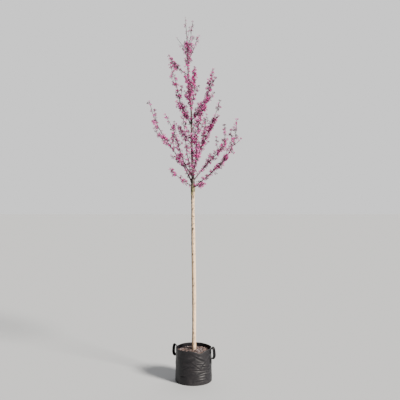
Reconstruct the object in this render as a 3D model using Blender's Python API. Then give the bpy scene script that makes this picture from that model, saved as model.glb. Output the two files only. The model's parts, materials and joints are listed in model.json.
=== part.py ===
"""A grafted half-standard tree in blossom, before its leaves, in a soft grow bag with two loop handles.

Metres, +Z up. The origin is the middle of the bag's flat underside, and the front is -Y.
The bag holds a ball of soil. The trunk stands on it and runs on as the leader above the graft.
Each limb is a bare bough, then a mass: a stem with twigs and flower clusters fused to it.
"""
import math
import random
from collections import namedtuple

import bmesh
import bpy
import numpy as np
from mathutils import Matrix, Vector

GAP = 0.0003                    # clearance between touching pieces
SEED = 18

# Grow bag, a turned profile whose rim sags at the front right
BAG_RADIUS = 0.165
BAG_HEIGHT = 0.309
BAG_WALL = 0.004
BAG_FOOT_RADIUS = 0.161         # where the flat underside ends
BAG_FOOT_ROUND = 0.010          # height of the rounded foot
BAG_BULGE = 0.004               # how far the middle stands out
BAG_FLARE = 0.006               # how far the foot spreads under the load
BAG_FLARE_TOP = 0.210
BAG_LEVELS = (0.070, 0.140, 0.200, 0.249, 0.279)
BAG_SEGMENTS = 36
RIM_BAND = 0.060                # depth of wall that follows the rim's sag
RIM_DIP = 0.021
RIM_DIP_AT = math.radians(-67)
RIM_DIP_WIDTH = math.radians(14)

# Soil, level with the trunk's foot in the middle and lower against the wall
SOIL_CROWN = 0.290
SOIL_EDGE = 0.272
SOIL_SHOULDER = 0.60            # of its radius, where it starts to fall away
SOIL_FLAT_RADIUS = 0.034

# Loop handles, one on each side: a flat strap whose upper end is sewn on just under the rim
HANDLE_TURN = math.radians(-21)
HANDLE_REACH = 0.042            # of the strap's middle line, from the wall's inner face
HANDLE_TOP = 0.298
HANDLE_FOOT = 0.217
HANDLE_LIFT = 0.030             # how far the strap rises before it turns down
HANDLE_SQUARENESS = 0.75        # 1 is a half ellipse, less is squarer
STRAP_THICKNESS = 0.009
STRAP_WIDTH = 0.026
STRAP_STEPS = 18

# Trunk and leader
Station = namedtuple("Station", "height lean_x lean_y diameter")
TRUNK = [
    Station(SOIL_CROWN + GAP, 0.002, 0.000, 0.044),
    Station(0.345, 0.0025, 0.000, 0.0405),
    Station(0.840, 0.003, 0.002, 0.039),
    Station(1.300, -0.004, 0.002, 0.038),
    Station(1.720, -0.008, 0.000, 0.036),
    Station(1.795, -0.007, 0.000, 0.043),
    Station(1.890, -0.007, 0.002, 0.029),
    Station(2.120, -0.016, 0.003, 0.022),
    Station(2.385, -0.020, 0.000, 0.018),
    Station(2.560, -0.026, -0.004, 0.0155),
    Station(2.660, -0.040, -0.006, 0.014),
    Station(2.900, -0.053, -0.003, 0.011),
    Station(3.120, -0.058, 0.003, 0.008),
    Station(3.382, -0.079, 0.000, 0.003),
]
TRUNK_END = 12                  # the station where the trunk ends and the mass at its tip starts
TRUNK_PARTS = 4                 # faceted stretches from one station to the next
TRUNK_SIDES = 12

# Limbs. foot is the height where a limb leaves the trunk, and side, depth and rise are how far its
# tip lies from there. bow bends its middle outwards. sway bends its lower half outwards and its upper
# half back again, or the other way round if negative. thick is its diameter at the foot, and bare the
# share of it that is a bough. With none it is a mass from its foot.
Limb = namedtuple("Limb", "name foot side depth rise bow sway thick bare")
LIMBS = [
    Limb("low_left_short", 1.808, -0.195, -0.130, 0.150, 0.10, 0.00, 0.007, 0.42),
    Limb("low_left_long", 1.825, -0.410, 0.060, 0.780, 0.06, -0.05, 0.011, 0.20),
    Limb("low_left_front", 1.890, -0.240, -0.240, 0.545, 0.02, 0.06, 0.009, 0.24),
    Limb("low_left_back", 1.850, -0.100, 0.360, 0.640, 0.16, 0.00, 0.009, 0.24),
    Limb("mid_left", 2.200, -0.150, 0.200, 0.215, 0.03, 0.00, 0.006, 0.26),
    Limb("tall_left", 2.385, -0.190, -0.120, 0.525, 0.13, 0.06, 0.008, 0.14),
    Limb("leader_left_low", 2.575, -0.050, -0.100, 0.095, 0.00, 0.00, 0.005, 0.00),
    Limb("leader_left_mid", 2.740, -0.035, -0.070, 0.110, 0.05, 0.00, 0.005, 0.00),
    Limb("high_left", 2.850, -0.178, 0.080, 0.190, 0.16, 0.00, 0.006, 0.18),
    Limb("leader_left_top", 3.075, -0.098, 0.070, 0.135, 0.03, 0.00, 0.004, 0.00),
    Limb("low_right_long", 1.795, 0.405, -0.060, 0.620, 0.30, 0.00, 0.010, 0.22),
    Limb("low_right_short", 1.805, 0.105, -0.170, 0.022, 0.08, 0.00, 0.006, 0.28),
    Limb("low_right_front", 1.870, 0.050, -0.360, 0.580, 0.18, 0.00, 0.009, 0.24),
    Limb("low_right_wide", 1.860, 0.300, 0.140, 0.530, 0.26, -0.07, 0.009, 0.22),
    Limb("low_right_back", 1.925, 0.130, 0.330, 0.600, 0.14, 0.00, 0.008, 0.24),
    Limb("mid_right_inner", 1.955, 0.245, -0.170, 0.615, 0.00, -0.03, 0.009, 0.22),
    Limb("mid_right_spur", 2.120, 0.076, -0.110, 0.075, 0.04, 0.00, 0.005, 0.00),
    Limb("mid_right_short", 2.235, 0.078, -0.130, 0.160, 0.06, 0.00, 0.006, 0.00),
    Limb("tall_right", 2.335, 0.202, 0.100, 0.585, 0.19, 0.03, 0.008, 0.16),
    Limb("upper_right_front", 2.420, 0.133, -0.215, 0.155, 0.00, 0.00, 0.006, 0.24),
    Limb("upper_front", 2.470, -0.030, -0.220, 0.400, 0.18, 0.00, 0.006, 0.20),
    Limb("upper_back", 2.500, 0.030, 0.230, 0.390, 0.18, 0.00, 0.006, 0.20),
    Limb("leader_right_mid", 2.640, 0.042, 0.110, 0.295, 0.24, 0.00, 0.005, 0.14),
    Limb("leader_right_high", 2.990, 0.099, 0.050, 0.235, 0.08, 0.04, 0.005, 0.00),
    Limb("leader_right_top", 3.060, 0.046, -0.045, 0.265, 0.10, 0.00, 0.004, 0.00),
]
# Side shoots of a mass that are too long to be left to its twigs: where along the limb they fork
# off, and how far their tip lies from there
Fork = namedtuple("Fork", "limb share side depth rise")
FORKS = [
    Fork("low_left_long", 0.44, -0.155, -0.060, 0.175),
    Fork("low_right_long", 0.60, -0.010, -0.090, 0.140),
    Fork("low_right_wide", 0.52, -0.015, -0.050, 0.130),
    Fork("low_left_back", 0.50, 0.080, 0.070, 0.150),
    Fork("low_right_back", 0.48, 0.090, 0.040, 0.160),
    Fork("low_right_front", 0.50, -0.090, -0.050, 0.150),
    Fork("mid_right_inner", 0.55, 0.075, -0.060, 0.130),
    Fork("tall_right", 0.70, 0.055, -0.040, 0.080),
]
LIMB_TIP = 0.003                # diameter at a limb's tip
LIMB_TAPER = 0.85               # below 1 keeps it thick for longer
LIMB_STEP = 0.070               # length of one faceted stretch
BOUGH_SIDES = 6
STEM_SIDES = 4
SHOOT_SIDES = 3

# Twigs, in turn round their stem, and flower clusters, in turn round stem and twig
GOLDEN_TURN = math.radians(137.5)
TWIG_SPACING = 0.125
TWIG_LONGEST = 0.105
TWIG_SHORTEST = 0.025
TWIG_SHARE = 0.45               # of the length of stem left beyond it
TWIG_THICKNESS = 0.0036
FORK_THICKNESS = 0.0046
FORK_BOW = 0.12
TWIG_TIP = 0.0022
TWIG_STEPS = 3
TWIG_LEAN = math.radians(42)    # away from its stem at the foot
TWIG_LIFT = 0.35                # how far it turns up again towards its tip
CLUSTER_SPACING = 0.055
CLUSTER_LENGTH = 0.026
CLUSTER_WIDTH = 0.015
CLUSTER_ROOT = 0.001            # how far past the middle of its twig it starts
CLUSTER_LEAN = math.radians(58)
SPREAD = 0.15                   # how far lengths and spacings vary


# Helpers

def make_material(name, colour, roughness):
    """A plain Principled material."""
    material = bpy.data.materials.new(name)
    material.use_nodes = True
    shader = material.node_tree.nodes["Principled BSDF"]
    shader.inputs["Base Color"].default_value = (*colour, 1.0)
    shader.inputs["Roughness"].default_value = roughness
    return material


def add_object(name, bm, material, collection=None):
    """Close a bmesh into a named object whose faces point out."""
    bmesh.ops.recalc_face_normals(bm, faces=bm.faces)
    mesh = bpy.data.meshes.new(name)
    bm.to_mesh(mesh)
    bm.free()
    mesh.materials.append(material)
    mesh.shade_smooth()
    mesh.set_sharp_from_angle(angle=math.radians(35))
    obj = bpy.data.objects.new(name, mesh)
    (collection or bpy.context.scene.collection).objects.link(obj)
    return obj


def turned(profile, segments):
    """Spin a section about Z into a closed shape."""
    bm = bmesh.new()
    verts = [bm.verts.new((radius, 0.0, height)) for radius, height in profile]
    edges = [bm.edges.new(pair) for pair in zip(verts, verts[1:])]
    bmesh.ops.spin(bm, geom=verts + edges, cent=(0, 0, 0), axis=(0, 0, 1), angle=math.tau,
                   steps=segments, use_merge=True)
    bmesh.ops.remove_doubles(bm, verts=bm.verts, dist=1e-6)
    return bm


def path_frames(points):
    """A frame at each point of a path, its Z along the path, carried on with the least turning."""
    chords = [(after - before).normalized() for before, after in zip(points, points[1:])]
    bends = [(before + after).normalized() for before, after in zip(chords, chords[1:])]
    tangents = [chords[0], *bends, chords[-1]]
    turn = Vector((0, 0, 1)).rotation_difference(tangents[0])
    frames = []
    for point, before, tangent in zip(points, [tangents[0], *tangents], tangents):
        turn = before.rotation_difference(tangent) @ turn
        frames.append(Matrix.LocRotScale(point, turn, None))
    return frames


def places_along(points, widths, depths=None):
    """The frames of a path, each scaled to the half width and half depth of its section."""
    sizes = zip(widths, depths or widths)
    return [frame @ Matrix.Diagonal((width, depth, 1.0, 1.0))
            for frame, (width, depth) in zip(path_frames(points), sizes)]


def sweep(places, sides, ring_turn=0.0):
    """Draw a ring of corners at the first place and extrude its rim from place to place."""
    bm = bmesh.new()
    first = places[0] @ Matrix.Rotation(ring_turn, 4, "Z")
    bmesh.ops.create_circle(bm, cap_ends=True, radius=1.0, segments=sides, matrix=first)
    rim = bm.edges[:]
    for before, place in zip(places, places[1:]):
        step = bmesh.ops.extrude_edge_only(bm, edges=rim)["geom"]
        verts = [item for item in step if isinstance(item, bmesh.types.BMVert)]
        rim = [item for item in step if isinstance(item, bmesh.types.BMEdge) and item.is_boundary]
        bmesh.ops.transform(bm, matrix=place @ before.inverted(), verts=verts)
    bmesh.ops.contextual_create(bm, geom=rim)
    return bm


def keep_main_shell(obj):
    """Drop loose scraps and the walls of sealed hollows, which never have the most faces."""
    bm = bmesh.new()
    bm.from_mesh(obj.data)
    unseen = set(bm.verts)
    shells = []
    while unseen:
        shell = set()
        edge_of_shell = [unseen.pop()]
        while edge_of_shell:
            vert = edge_of_shell.pop()
            shell.add(vert)
            fresh = {edge.other_vert(vert) for edge in vert.link_edges} & unseen
            unseen -= fresh
            edge_of_shell.extend(fresh)
        shells.append(shell)
    main_shell = max(shells, key=len)
    scraps = [vert for vert in bm.verts if vert not in main_shell]
    bmesh.ops.delete(bm, geom=scraps, context="VERTS")
    bm.to_mesh(obj.data)
    bm.free()


def apply_boolean(obj, operation, other=None, collection=None):
    """Join or cut an object with another, or with a whole collection at once, for good."""
    modifier = obj.modifiers.new(operation.lower(), "BOOLEAN")
    modifier.operation = operation
    modifier.solver = "EXACT"
    if collection:
        modifier.operand_type = "COLLECTION"
        modifier.collection = collection
    else:
        modifier.object = other
    evaluated = obj.evaluated_get(bpy.context.evaluated_depsgraph_get())
    result = bpy.data.meshes.new_from_object(evaluated)
    obj.modifiers.clear()
    plain = obj.data
    obj.data = result
    bpy.data.meshes.remove(plain)
    keep_main_shell(obj)


def remove_object(obj):
    mesh = obj.data
    bpy.data.objects.remove(obj)
    bpy.data.meshes.remove(mesh)


# Bag, soil and handles

def bag_radius(height):
    """Outer radius of the bag's wall, which bulges halfway up and spreads at its foot."""
    flare = BAG_FLARE * max(0.0, 1 - height / BAG_FLARE_TOP) ** 2
    return BAG_RADIUS + BAG_BULGE * math.sin(math.pi * height / BAG_HEIGHT) + flare


def rim_sag(angle):
    """How far the rim sinks at an angle round the bag."""
    off = (angle - RIM_DIP_AT + math.pi) % math.tau - math.pi
    return RIM_DIP * math.exp(-(off / RIM_DIP_WIDTH) ** 2)


def wall_section(extra, top=BAG_HEIGHT):
    """Points up the bag's wall, as far outside its outer face as asked."""
    levels = [level for level in (BAG_FOOT_ROUND, *BAG_LEVELS, BAG_HEIGHT) if level <= top]
    return [(bag_radius(level) + extra, level) for level in levels]


def build_bag(material):
    """The wall's section runs up the outside from the underside's middle and down the inside."""
    reach = bag_radius(BAG_FOOT_ROUND) - BAG_FOOT_RADIUS
    foot = [(BAG_FOOT_RADIUS + reach * math.sin(turn), BAG_FOOT_ROUND * (1 - math.cos(turn)))
            for turn in (0, math.pi / 6, math.pi / 3)]
    inside = reversed(wall_section(-BAG_WALL))
    floor = [(BAG_FOOT_RADIUS, BAG_WALL), (0.0, BAG_WALL)]
    bm = turned([(0.0, 0.0), *foot, *wall_section(0.0), *inside, *floor], BAG_SEGMENTS)
    for vert in bm.verts:
        share = max(0.0, (vert.co.z - (BAG_HEIGHT - RIM_BAND)) / RIM_BAND)
        vert.co.z -= share * rim_sag(math.atan2(vert.co.y, vert.co.x))
    return add_object("bag", bm, material)


def build_soil(material):
    """Fills the bag's inside, with the clearance off its wall and floor."""
    floor = BAG_WALL + GAP
    wall = wall_section(-BAG_WALL - 2 * GAP, top=SOIL_EDGE)
    edge = bag_radius(SOIL_EDGE) - 2 * BAG_WALL
    fall = SOIL_CROWN - SOIL_EDGE
    top = [(edge, SOIL_EDGE), (SOIL_SHOULDER * edge, SOIL_CROWN - fall / 3), (SOIL_FLAT_RADIUS, SOIL_CROWN)]
    profile = [(0.0, floor), (BAG_FOOT_RADIUS - GAP, floor), *wall, *top, (0.0, SOIL_CROWN)]
    return add_object("soil", turned(profile, BAG_SEGMENTS), material)


def handle_point(turn):
    """A point on a strap's middle line, from 0 at its upper end to pi at its lower one."""
    middle = (HANDLE_TOP + HANDLE_FOOT) / 2
    half = (HANDLE_TOP - HANDLE_FOOT) / 2
    across = math.copysign(abs(math.cos(turn)) ** HANDLE_SQUARENESS, math.cos(turn))
    lift = HANDLE_LIFT * max(0.0, math.sin(2 * turn))
    height = middle + half * across + lift
    reach = HANDLE_REACH * abs(math.sin(turn)) ** HANDLE_SQUARENESS
    return Vector((bag_radius(height) - BAG_WALL + reach, 0.0, height))


def build_handle(name, turn, clearance, material):
    """A strap whose ends run into the wall and are cut back to lie against it."""
    points = [handle_point(math.pi * step / STRAP_STEPS) for step in range(STRAP_STEPS + 1)]
    corner = math.sqrt(0.5)
    halves = [[size * corner] * len(points) for size in (STRAP_THICKNESS, STRAP_WIDTH)]
    bm = sweep(places_along(points, *halves), 4, ring_turn=math.pi / 4)
    obj = add_object(name, bm, material)
    obj.rotation_euler.z = turn
    apply_boolean(obj, "DIFFERENCE", other=clearance)
    return obj


# Trunk and limbs

def trunk_at(height):
    """Middle of the trunk and its diameter at a height, on a smooth curve through the stations."""
    table = np.array(TRUNK)
    slopes = np.gradient(table, table[:, 0], axis=0)
    low = int(np.clip(np.searchsorted(table[:, 0], height) - 1, 0, len(TRUNK) - 2))
    span = table[low + 1, 0] - table[low, 0]
    t = (height - table[low, 0]) / span
    ends = (1 - t) ** 2 * (1 + 2 * t) * table[low] + t ** 2 * (3 - 2 * t) * table[low + 1]
    bends = t * (1 - t) * ((1 - t) * slopes[low] - t * slopes[low + 1]) * span
    _, lean_x, lean_y, diameter = ends + bends
    return Vector((lean_x, lean_y, height)), diameter


def trunk_places():
    """Places of the trunk's rings, and the one where its end mass takes over."""
    steps = [step / TRUNK_PARTS for step in range(TRUNK_PARTS)]
    heights = [low.height + (high.height - low.height) * step
               for low, high in zip(TRUNK, TRUNK[1:]) for step in steps]
    points, diameters = zip(*[trunk_at(height) for height in [*heights, TRUNK[-1].height]])
    places = places_along(points, [diameter / 2 for diameter in diameters])
    level_cut = Matrix.LocRotScale(places[0].to_translation(), None, places[0].to_scale())
    return [level_cut, *places[1:]], TRUNK_END * TRUNK_PARTS


def widened(places, extra):
    """The same places with every section grown by the same width."""
    grown = []
    for place in places:
        point, turn, size = place.decompose()
        grown.append(Matrix.LocRotScale(point, turn, Vector((size.x + extra, size.y + extra, 1.0))))
    return grown


def limb_point(limb, t):
    """A point on a limb's middle line, from 0 in the trunk's middle to 1 at its tip."""
    out = t + limb.bow * math.sin(math.pi * t) + limb.sway * math.sin(math.tau * t)
    return trunk_at(limb.foot)[0] + Vector((limb.side * out, limb.depth * out, limb.rise * t))


def limb_places(limb):
    """Places of a limb's rings, and the one where its bough ends and its mass starts."""
    length = math.hypot(limb.side, limb.depth, limb.rise)
    bough_steps = math.ceil(limb.bare * length / LIMB_STEP)
    mass_steps = math.ceil((1 - limb.bare) * length / LIMB_STEP)
    shares = [limb.bare * step / bough_steps for step in range(bough_steps)]
    shares += [1 - (1 - limb.bare) * left / mass_steps for left in range(mass_steps, -1, -1)]
    radii = [(LIMB_TIP + (limb.thick - LIMB_TIP) * (1 - t) ** LIMB_TAPER) / 2 for t in shares]
    return places_along([limb_point(limb, t) for t in shares], radii), bough_steps


def stem_places(places, first):
    """The places from one ring on, the first moved up by the clearance."""
    lift = Matrix.Translation(places[first].to_3x3().col[2] * GAP)
    return [lift @ places[first], *places[first + 1:]]


# Twigs and flower clusters

class Space:
    """The room that each limb, twig and cluster takes, as balls, so that others keep clear of it."""

    def __init__(self):
        self.owners = []
        self.balls = []

    def take(self, owner, balls):
        self.owners += [owner] * len(balls)
        self.balls += balls

    def is_free(self, owner, balls):
        others = np.array([ball for name, ball in zip(self.owners, self.balls) if name != owner])
        for x, y, z, radius in balls:
            away = np.linalg.norm(others[:, :3] - (x, y, z), axis=1)
            if np.any(away < others[:, 3] + radius + 2 * GAP):
                return False
        return True


def balls_along(places):
    """Balls that hold a tapering piece, closely enough spaced to leave no way through."""
    balls = []
    for before, after in zip(places, places[1:]):
        start, end = before.translation, after.translation
        radius = before.to_scale().x
        count = max(1, math.ceil((end - start).length / radius))
        for step in range(count + 1):
            balls.append((*start.lerp(end, step / count), radius * 1.2))
    return balls


def frame_at(places, distance):
    """The frame, with no scale, at a distance along a path."""
    for before, after in zip(places, places[1:]):
        start, end = before.translation, after.translation
        length = (end - start).length
        if distance <= length:
            turn = before.to_quaternion().slerp(after.to_quaternion(), distance / length)
            return Matrix.LocRotScale(start.lerp(end, distance / length), turn, None)
        distance -= length
    return Matrix.LocRotScale(places[-1].translation, places[-1].to_quaternion(), None)


def path_length(places):
    return sum((b.translation - a.translation).length for a, b in zip(places, places[1:]))


def shoot_places(points, thickness):
    """Places of a thin shoot that tapers evenly to a twig's tip."""
    steps = len(points) - 1
    radii = [(thickness + (TWIG_TIP - thickness) * step / steps) / 2 for step in range(steps + 1)]
    return places_along(points, radii)


def twig_places(frame, turn, length):
    """Places of a twig that leans out of its stem and lifts its tip again."""
    outwards = frame @ Matrix.Rotation(turn, 4, "Z")
    points = []
    for step in range(TWIG_STEPS + 1):
        t = step / TWIG_STEPS
        lean = TWIG_LEAN * (1 - TWIG_LIFT * t)
        points.append(outwards @ (Vector((math.sin(lean), 0.0, math.cos(lean))) * length * t))
    return shoot_places(points, TWIG_THICKNESS)


def fork_places(limb, fork):
    """Places of a fork that goes out before it goes up, as its limb does."""
    points = []
    for step in range(TWIG_STEPS + 1):
        t = step / TWIG_STEPS
        out = t + FORK_BOW * math.sin(math.pi * t)
        offset = Vector((fork.side * out, fork.depth * out, fork.rise * t))
        points.append(limb_point(limb, fork.share) + offset)
    return shoot_places(points, FORK_THICKNESS)


def cluster_place(frame, turn, lean, size):
    """Place of a flower cluster that leans out of its twig, its root past the twig's middle."""
    outwards = frame @ Matrix.Rotation(turn, 4, "Z") @ Matrix.Rotation(lean, 4, "Y")
    middle = Matrix.Translation((0, 0, size * CLUSTER_LENGTH / 2 - CLUSTER_ROOT))
    half = (size * CLUSTER_WIDTH / 2, size * CLUSTER_WIDTH / 2, size * CLUSTER_LENGTH / 2, 1.0)
    return outwards @ middle @ Matrix.Diagonal(half)


def varied(rng):
    return rng.uniform(1 - SPREAD, 1 + SPREAD)


def grow_twigs(name, stem, space, rng):
    """Twigs in turn round a stem, each kept if it is long enough and finds free room."""
    twigs = []
    length = path_length(stem)
    distance = TWIG_SPACING / 2
    turn = rng.uniform(0, math.tau)
    while distance < length:
        reach = min(TWIG_LONGEST, TWIG_SHARE * (length - distance)) * varied(rng)
        twig = twig_places(frame_at(stem, distance), turn, reach)
        if reach > TWIG_SHORTEST and space.is_free(name, balls_along(twig)):
            space.take(name, balls_along(twig))
            twigs.append(twig)
        turn += GOLDEN_TURN
        distance += TWIG_SPACING * varied(rng)
    return twigs


def grow_clusters(name, line, space, rng):
    """Clusters in turn along a stem or a twig and one on its tip, each kept if it finds free room."""
    length = path_length(line)
    count = max(1, round(length / CLUSTER_SPACING))
    turn = rng.uniform(0, math.tau)
    spots = [(length * (number + 0.5) / count, CLUSTER_LEAN) for number in range(count)]
    spots.append((length, 0.0))
    free = []
    for spot, lean in spots:
        place = cluster_place(frame_at(line, spot), turn, lean, varied(rng))
        turn += GOLDEN_TURN
        ball = (*place.translation, place.to_scale().z)
        if space.is_free(name, [ball]):
            space.take(name, [ball])
            free.append(place)
    return free


def build_mass(name, stem, forks, space, materials, rng):
    """A stem, then its twigs and clusters, joined to it in one union."""
    wood, blossom = materials
    parts = bpy.data.collections.new(f"{name}_parts")
    bpy.context.scene.collection.children.link(parts)
    shoots = [*forks, *grow_twigs(name, stem, space, rng)]
    for shoot in shoots:
        add_object(f"{name}_shoot", sweep(shoot, SHOOT_SIDES), wood, parts)
    for line in [stem, *shoots]:
        for place in grow_clusters(name, line, space, rng):
            bm = bmesh.new()
            bmesh.ops.create_uvsphere(bm, u_segments=4, v_segments=2, radius=1.0, matrix=place)
            add_object(f"{name}_cluster", bm, blossom, parts)
    mass = add_object(name, sweep(stem, STEM_SIDES), blossom)
    apply_boolean(mass, "UNION", collection=parts)
    for obj in list(parts.objects):
        remove_object(obj)
    bpy.data.collections.remove(parts)
    return mass


def main():
    for obj in list(bpy.data.objects):
        bpy.data.objects.remove(obj)
    woven = make_material("woven_plastic", (0.030, 0.031, 0.034), 0.55)
    mulch = make_material("mulch", (0.17, 0.105, 0.08), 0.95)
    bark = make_material("pale_bark", (0.42, 0.34, 0.27), 0.75)
    wood = make_material("dark_bark", (0.10, 0.055, 0.05), 0.7)
    blossom = make_material("blossom", (0.50, 0.07, 0.27), 0.6)

    build_bag(woven)
    build_soil(mulch)
    section = [(0.0, BAG_FOOT_ROUND), *wall_section(2 * GAP), (0.0, BAG_HEIGHT)]
    clearance = add_object("bag_clearance", turned(section, BAG_SEGMENTS), woven)
    build_handle("handle_right", HANDLE_TURN, clearance, woven)
    build_handle("handle_left", HANDLE_TURN + math.pi, clearance, woven)
    remove_object(clearance)

    places, trunk_end = trunk_places()
    add_object("trunk", sweep(places[:trunk_end + 1], TRUNK_SIDES), bark)
    clearance = add_object("trunk_clearance", sweep(widened(places, 1.2 * GAP), TRUNK_SIDES), bark)

    space = Space()
    space.take("trunk", balls_along(places[:trunk_end + 1]))
    masses = {"mass_leader_tip": stem_places(places, trunk_end)}
    from_trunk = []
    for limb in LIMBS:
        rings, bough_end = limb_places(limb)
        if bough_end:
            bough = add_object(f"bough_{limb.name}", sweep(rings[:bough_end + 1], BOUGH_SIDES), wood)
            apply_boolean(bough, "DIFFERENCE", other=clearance)
            space.take(bough.name, balls_along(rings[1:bough_end + 1]))
            rings = stem_places(rings, bough_end)
        else:
            from_trunk.append(f"mass_{limb.name}")
        masses[f"mass_{limb.name}"] = rings
    limbs = {limb.name: limb for limb in LIMBS}
    forks = {name: [] for name in masses}
    for fork in FORKS:
        forks[f"mass_{fork.limb}"].append(fork_places(limbs[fork.limb], fork))
    for name, rings in masses.items():
        for line in [rings, *forks[name]]:
            space.take(name, balls_along(line))
    rng = random.Random(SEED)
    for name, rings in masses.items():
        mass = build_mass(name, rings, forks[name], space, (wood, blossom), rng)
        if name in from_trunk:
            apply_boolean(mass, "DIFFERENCE", other=clearance)
    remove_object(clearance)


if __name__ == "__main__":
    main()
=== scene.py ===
# %% [markdown]
# # A flowering half-standard tree in a grow bag
#
# The real thing is a young grafted tree, sold in blossom before its leaves open. It is a soft
# woven bag of soil with two loop handles, a pale clear stem as tall as a child, and above the graft
# a dark leader with upright limbs, strung with magenta flowers that sit right on the bark.
#
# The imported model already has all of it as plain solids. This lesson leaves them where they are and
# grows the looks round them: bark with relief, real flowers, cloth that creases, bark mulch.
# A script does this better than a brush here, since a tree is one rule used some hundred times.

import json
import math
import random
from collections import namedtuple

import bmesh
import bpy
import numpy as np
from mathutils import Matrix, Vector, noise

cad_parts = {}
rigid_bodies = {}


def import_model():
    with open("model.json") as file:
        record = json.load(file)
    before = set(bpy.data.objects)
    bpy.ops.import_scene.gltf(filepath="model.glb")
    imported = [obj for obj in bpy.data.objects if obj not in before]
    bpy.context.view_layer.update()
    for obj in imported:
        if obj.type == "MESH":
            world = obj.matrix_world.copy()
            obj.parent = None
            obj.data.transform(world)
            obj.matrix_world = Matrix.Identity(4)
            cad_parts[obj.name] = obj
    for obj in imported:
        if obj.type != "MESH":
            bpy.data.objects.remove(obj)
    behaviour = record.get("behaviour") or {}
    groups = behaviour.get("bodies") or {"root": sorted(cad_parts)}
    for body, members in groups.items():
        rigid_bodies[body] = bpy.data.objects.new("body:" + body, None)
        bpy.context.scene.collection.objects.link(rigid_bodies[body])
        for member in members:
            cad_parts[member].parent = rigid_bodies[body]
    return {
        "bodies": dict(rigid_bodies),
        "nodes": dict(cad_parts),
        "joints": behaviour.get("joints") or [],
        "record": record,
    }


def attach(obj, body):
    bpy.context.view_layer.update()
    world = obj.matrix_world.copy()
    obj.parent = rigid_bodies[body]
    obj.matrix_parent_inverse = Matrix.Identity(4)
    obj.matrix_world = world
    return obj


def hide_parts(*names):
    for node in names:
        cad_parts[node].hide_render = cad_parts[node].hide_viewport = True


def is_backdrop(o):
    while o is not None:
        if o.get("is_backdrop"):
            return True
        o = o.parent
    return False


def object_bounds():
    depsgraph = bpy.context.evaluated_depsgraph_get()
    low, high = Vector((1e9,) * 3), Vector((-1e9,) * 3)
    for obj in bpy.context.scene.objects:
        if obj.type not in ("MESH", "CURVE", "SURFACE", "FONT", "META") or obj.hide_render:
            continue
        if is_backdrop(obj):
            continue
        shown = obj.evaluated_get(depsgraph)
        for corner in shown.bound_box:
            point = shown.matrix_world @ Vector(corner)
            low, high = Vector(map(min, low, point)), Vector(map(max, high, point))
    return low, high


for obj in list(bpy.data.objects):
    bpy.data.objects.remove(obj)
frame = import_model()
cad_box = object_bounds()
masses = sorted(node for node in frame["nodes"] if node.startswith("mass_"))
boughs = sorted(node for node in frame["nodes"] if node.startswith("bough_"))
print(f"{len(frame['nodes'])} nodes, {len(boughs)} boughs, {len(masses)} masses")
print("height of the solids:", round(cad_box[1].z, 3), "m")

# %% [markdown]
# ## Camera, floor and light
#
# A tall thin tree is looked at level, from half its height and some five metres away, so that the
# stem stays upright. A long lens far off would flatten the bag's rim to a line, and a camera set
# lower would hide the soil. The lens follows from how many pixels a metre takes up at that
# distance.

# %% The camera
PICTURE_PIXELS = 400            # the picture is square
FOCAL_PIXELS = 549              # focal length, in the picture's own pixels
SENSOR = 36.0
EYE = Vector((0.059, -5.13, 1.683))


def in_scene(name, data):
    """A new object, linked to the scene."""
    obj = bpy.data.objects.new(name, data)
    bpy.context.scene.collection.objects.link(obj)
    return obj


camera = in_scene("camera", bpy.data.cameras.new("camera"))
camera.data.sensor_fit = "HORIZONTAL"
camera.data.sensor_width = SENSOR
camera.data.lens = SENSOR * FOCAL_PIXELS / PICTURE_PIXELS
camera.location = EYE
camera.rotation_euler = (math.radians(90), 0, 0)
bpy.context.scene.camera = camera
print("lens", round(camera.data.lens, 1), "mm")

# %% [markdown]
# A plain pale floor and a sky of the same shade meet without a line, if the light on the floor is
# even. A sun lamp lights it evenly, where an area lamp leaves a bright pool. It stands low, to the
# right and in front, and a wide angle makes its shadows soft. A second one, weak and very wide,
# stands behind, so that the crown isn't black from there. The sky lights the tree with a third of
# what the camera sees of it, so that a round stem keeps a light side and a dark one.

# %% Floor and lamps
FLOOR_SHADE = (0.430, 0.440, 0.454)
SKY_SHADE = (1.0, 1.0, 1.0)
SKY_SEEN, SKY_LIGHT = 1.04, 0.30
FLOOR_HALF = 60                 # metres, so that its edge is out of sight
Lamp = namedtuple("Lamp", "name towards strength tint angle")
LAMPS = [
    Lamp("sun", Vector((0.75, -0.62, 0.61)), 10.2, (1.0, 0.95, 0.87), math.radians(14)),
    Lamp("fill", Vector((0.20, 0.90, 0.50)), 2.0, (1.0, 0.98, 0.96), math.radians(80)),
]


def plain_material(name, colour, roughness):
    """One even finish, for what isn't part of the tree."""
    material = bpy.data.materials.new(name)
    material.use_nodes = True
    shader = material.node_tree.nodes["Principled BSDF"]
    shader.inputs["Base Color"].default_value = (*colour, 1)
    shader.inputs["Roughness"].default_value = roughness
    shader.inputs["Specular IOR Level"].default_value = 0
    return material


def mesh_of(name, bm):
    """Turn a bmesh into a mesh."""
    mesh = bpy.data.meshes.new(name)
    bm.to_mesh(mesh)
    bm.free()
    return mesh


bm = bmesh.new()
bmesh.ops.create_grid(bm, x_segments=1, y_segments=1, size=FLOOR_HALF)
floor = in_scene("floor", mesh_of("floor", bm))
floor.data.materials.append(plain_material("floor", FLOOR_SHADE, 0.9))
floor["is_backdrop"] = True

for lamp in LAMPS:
    sun = in_scene(lamp.name, bpy.data.lights.new(lamp.name, "SUN"))
    sun.data.energy, sun.data.color, sun.data.angle = lamp.strength, lamp.tint, lamp.angle
    sun.rotation_euler = lamp.towards.to_track_quat("Z", "Y").to_euler()

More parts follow.
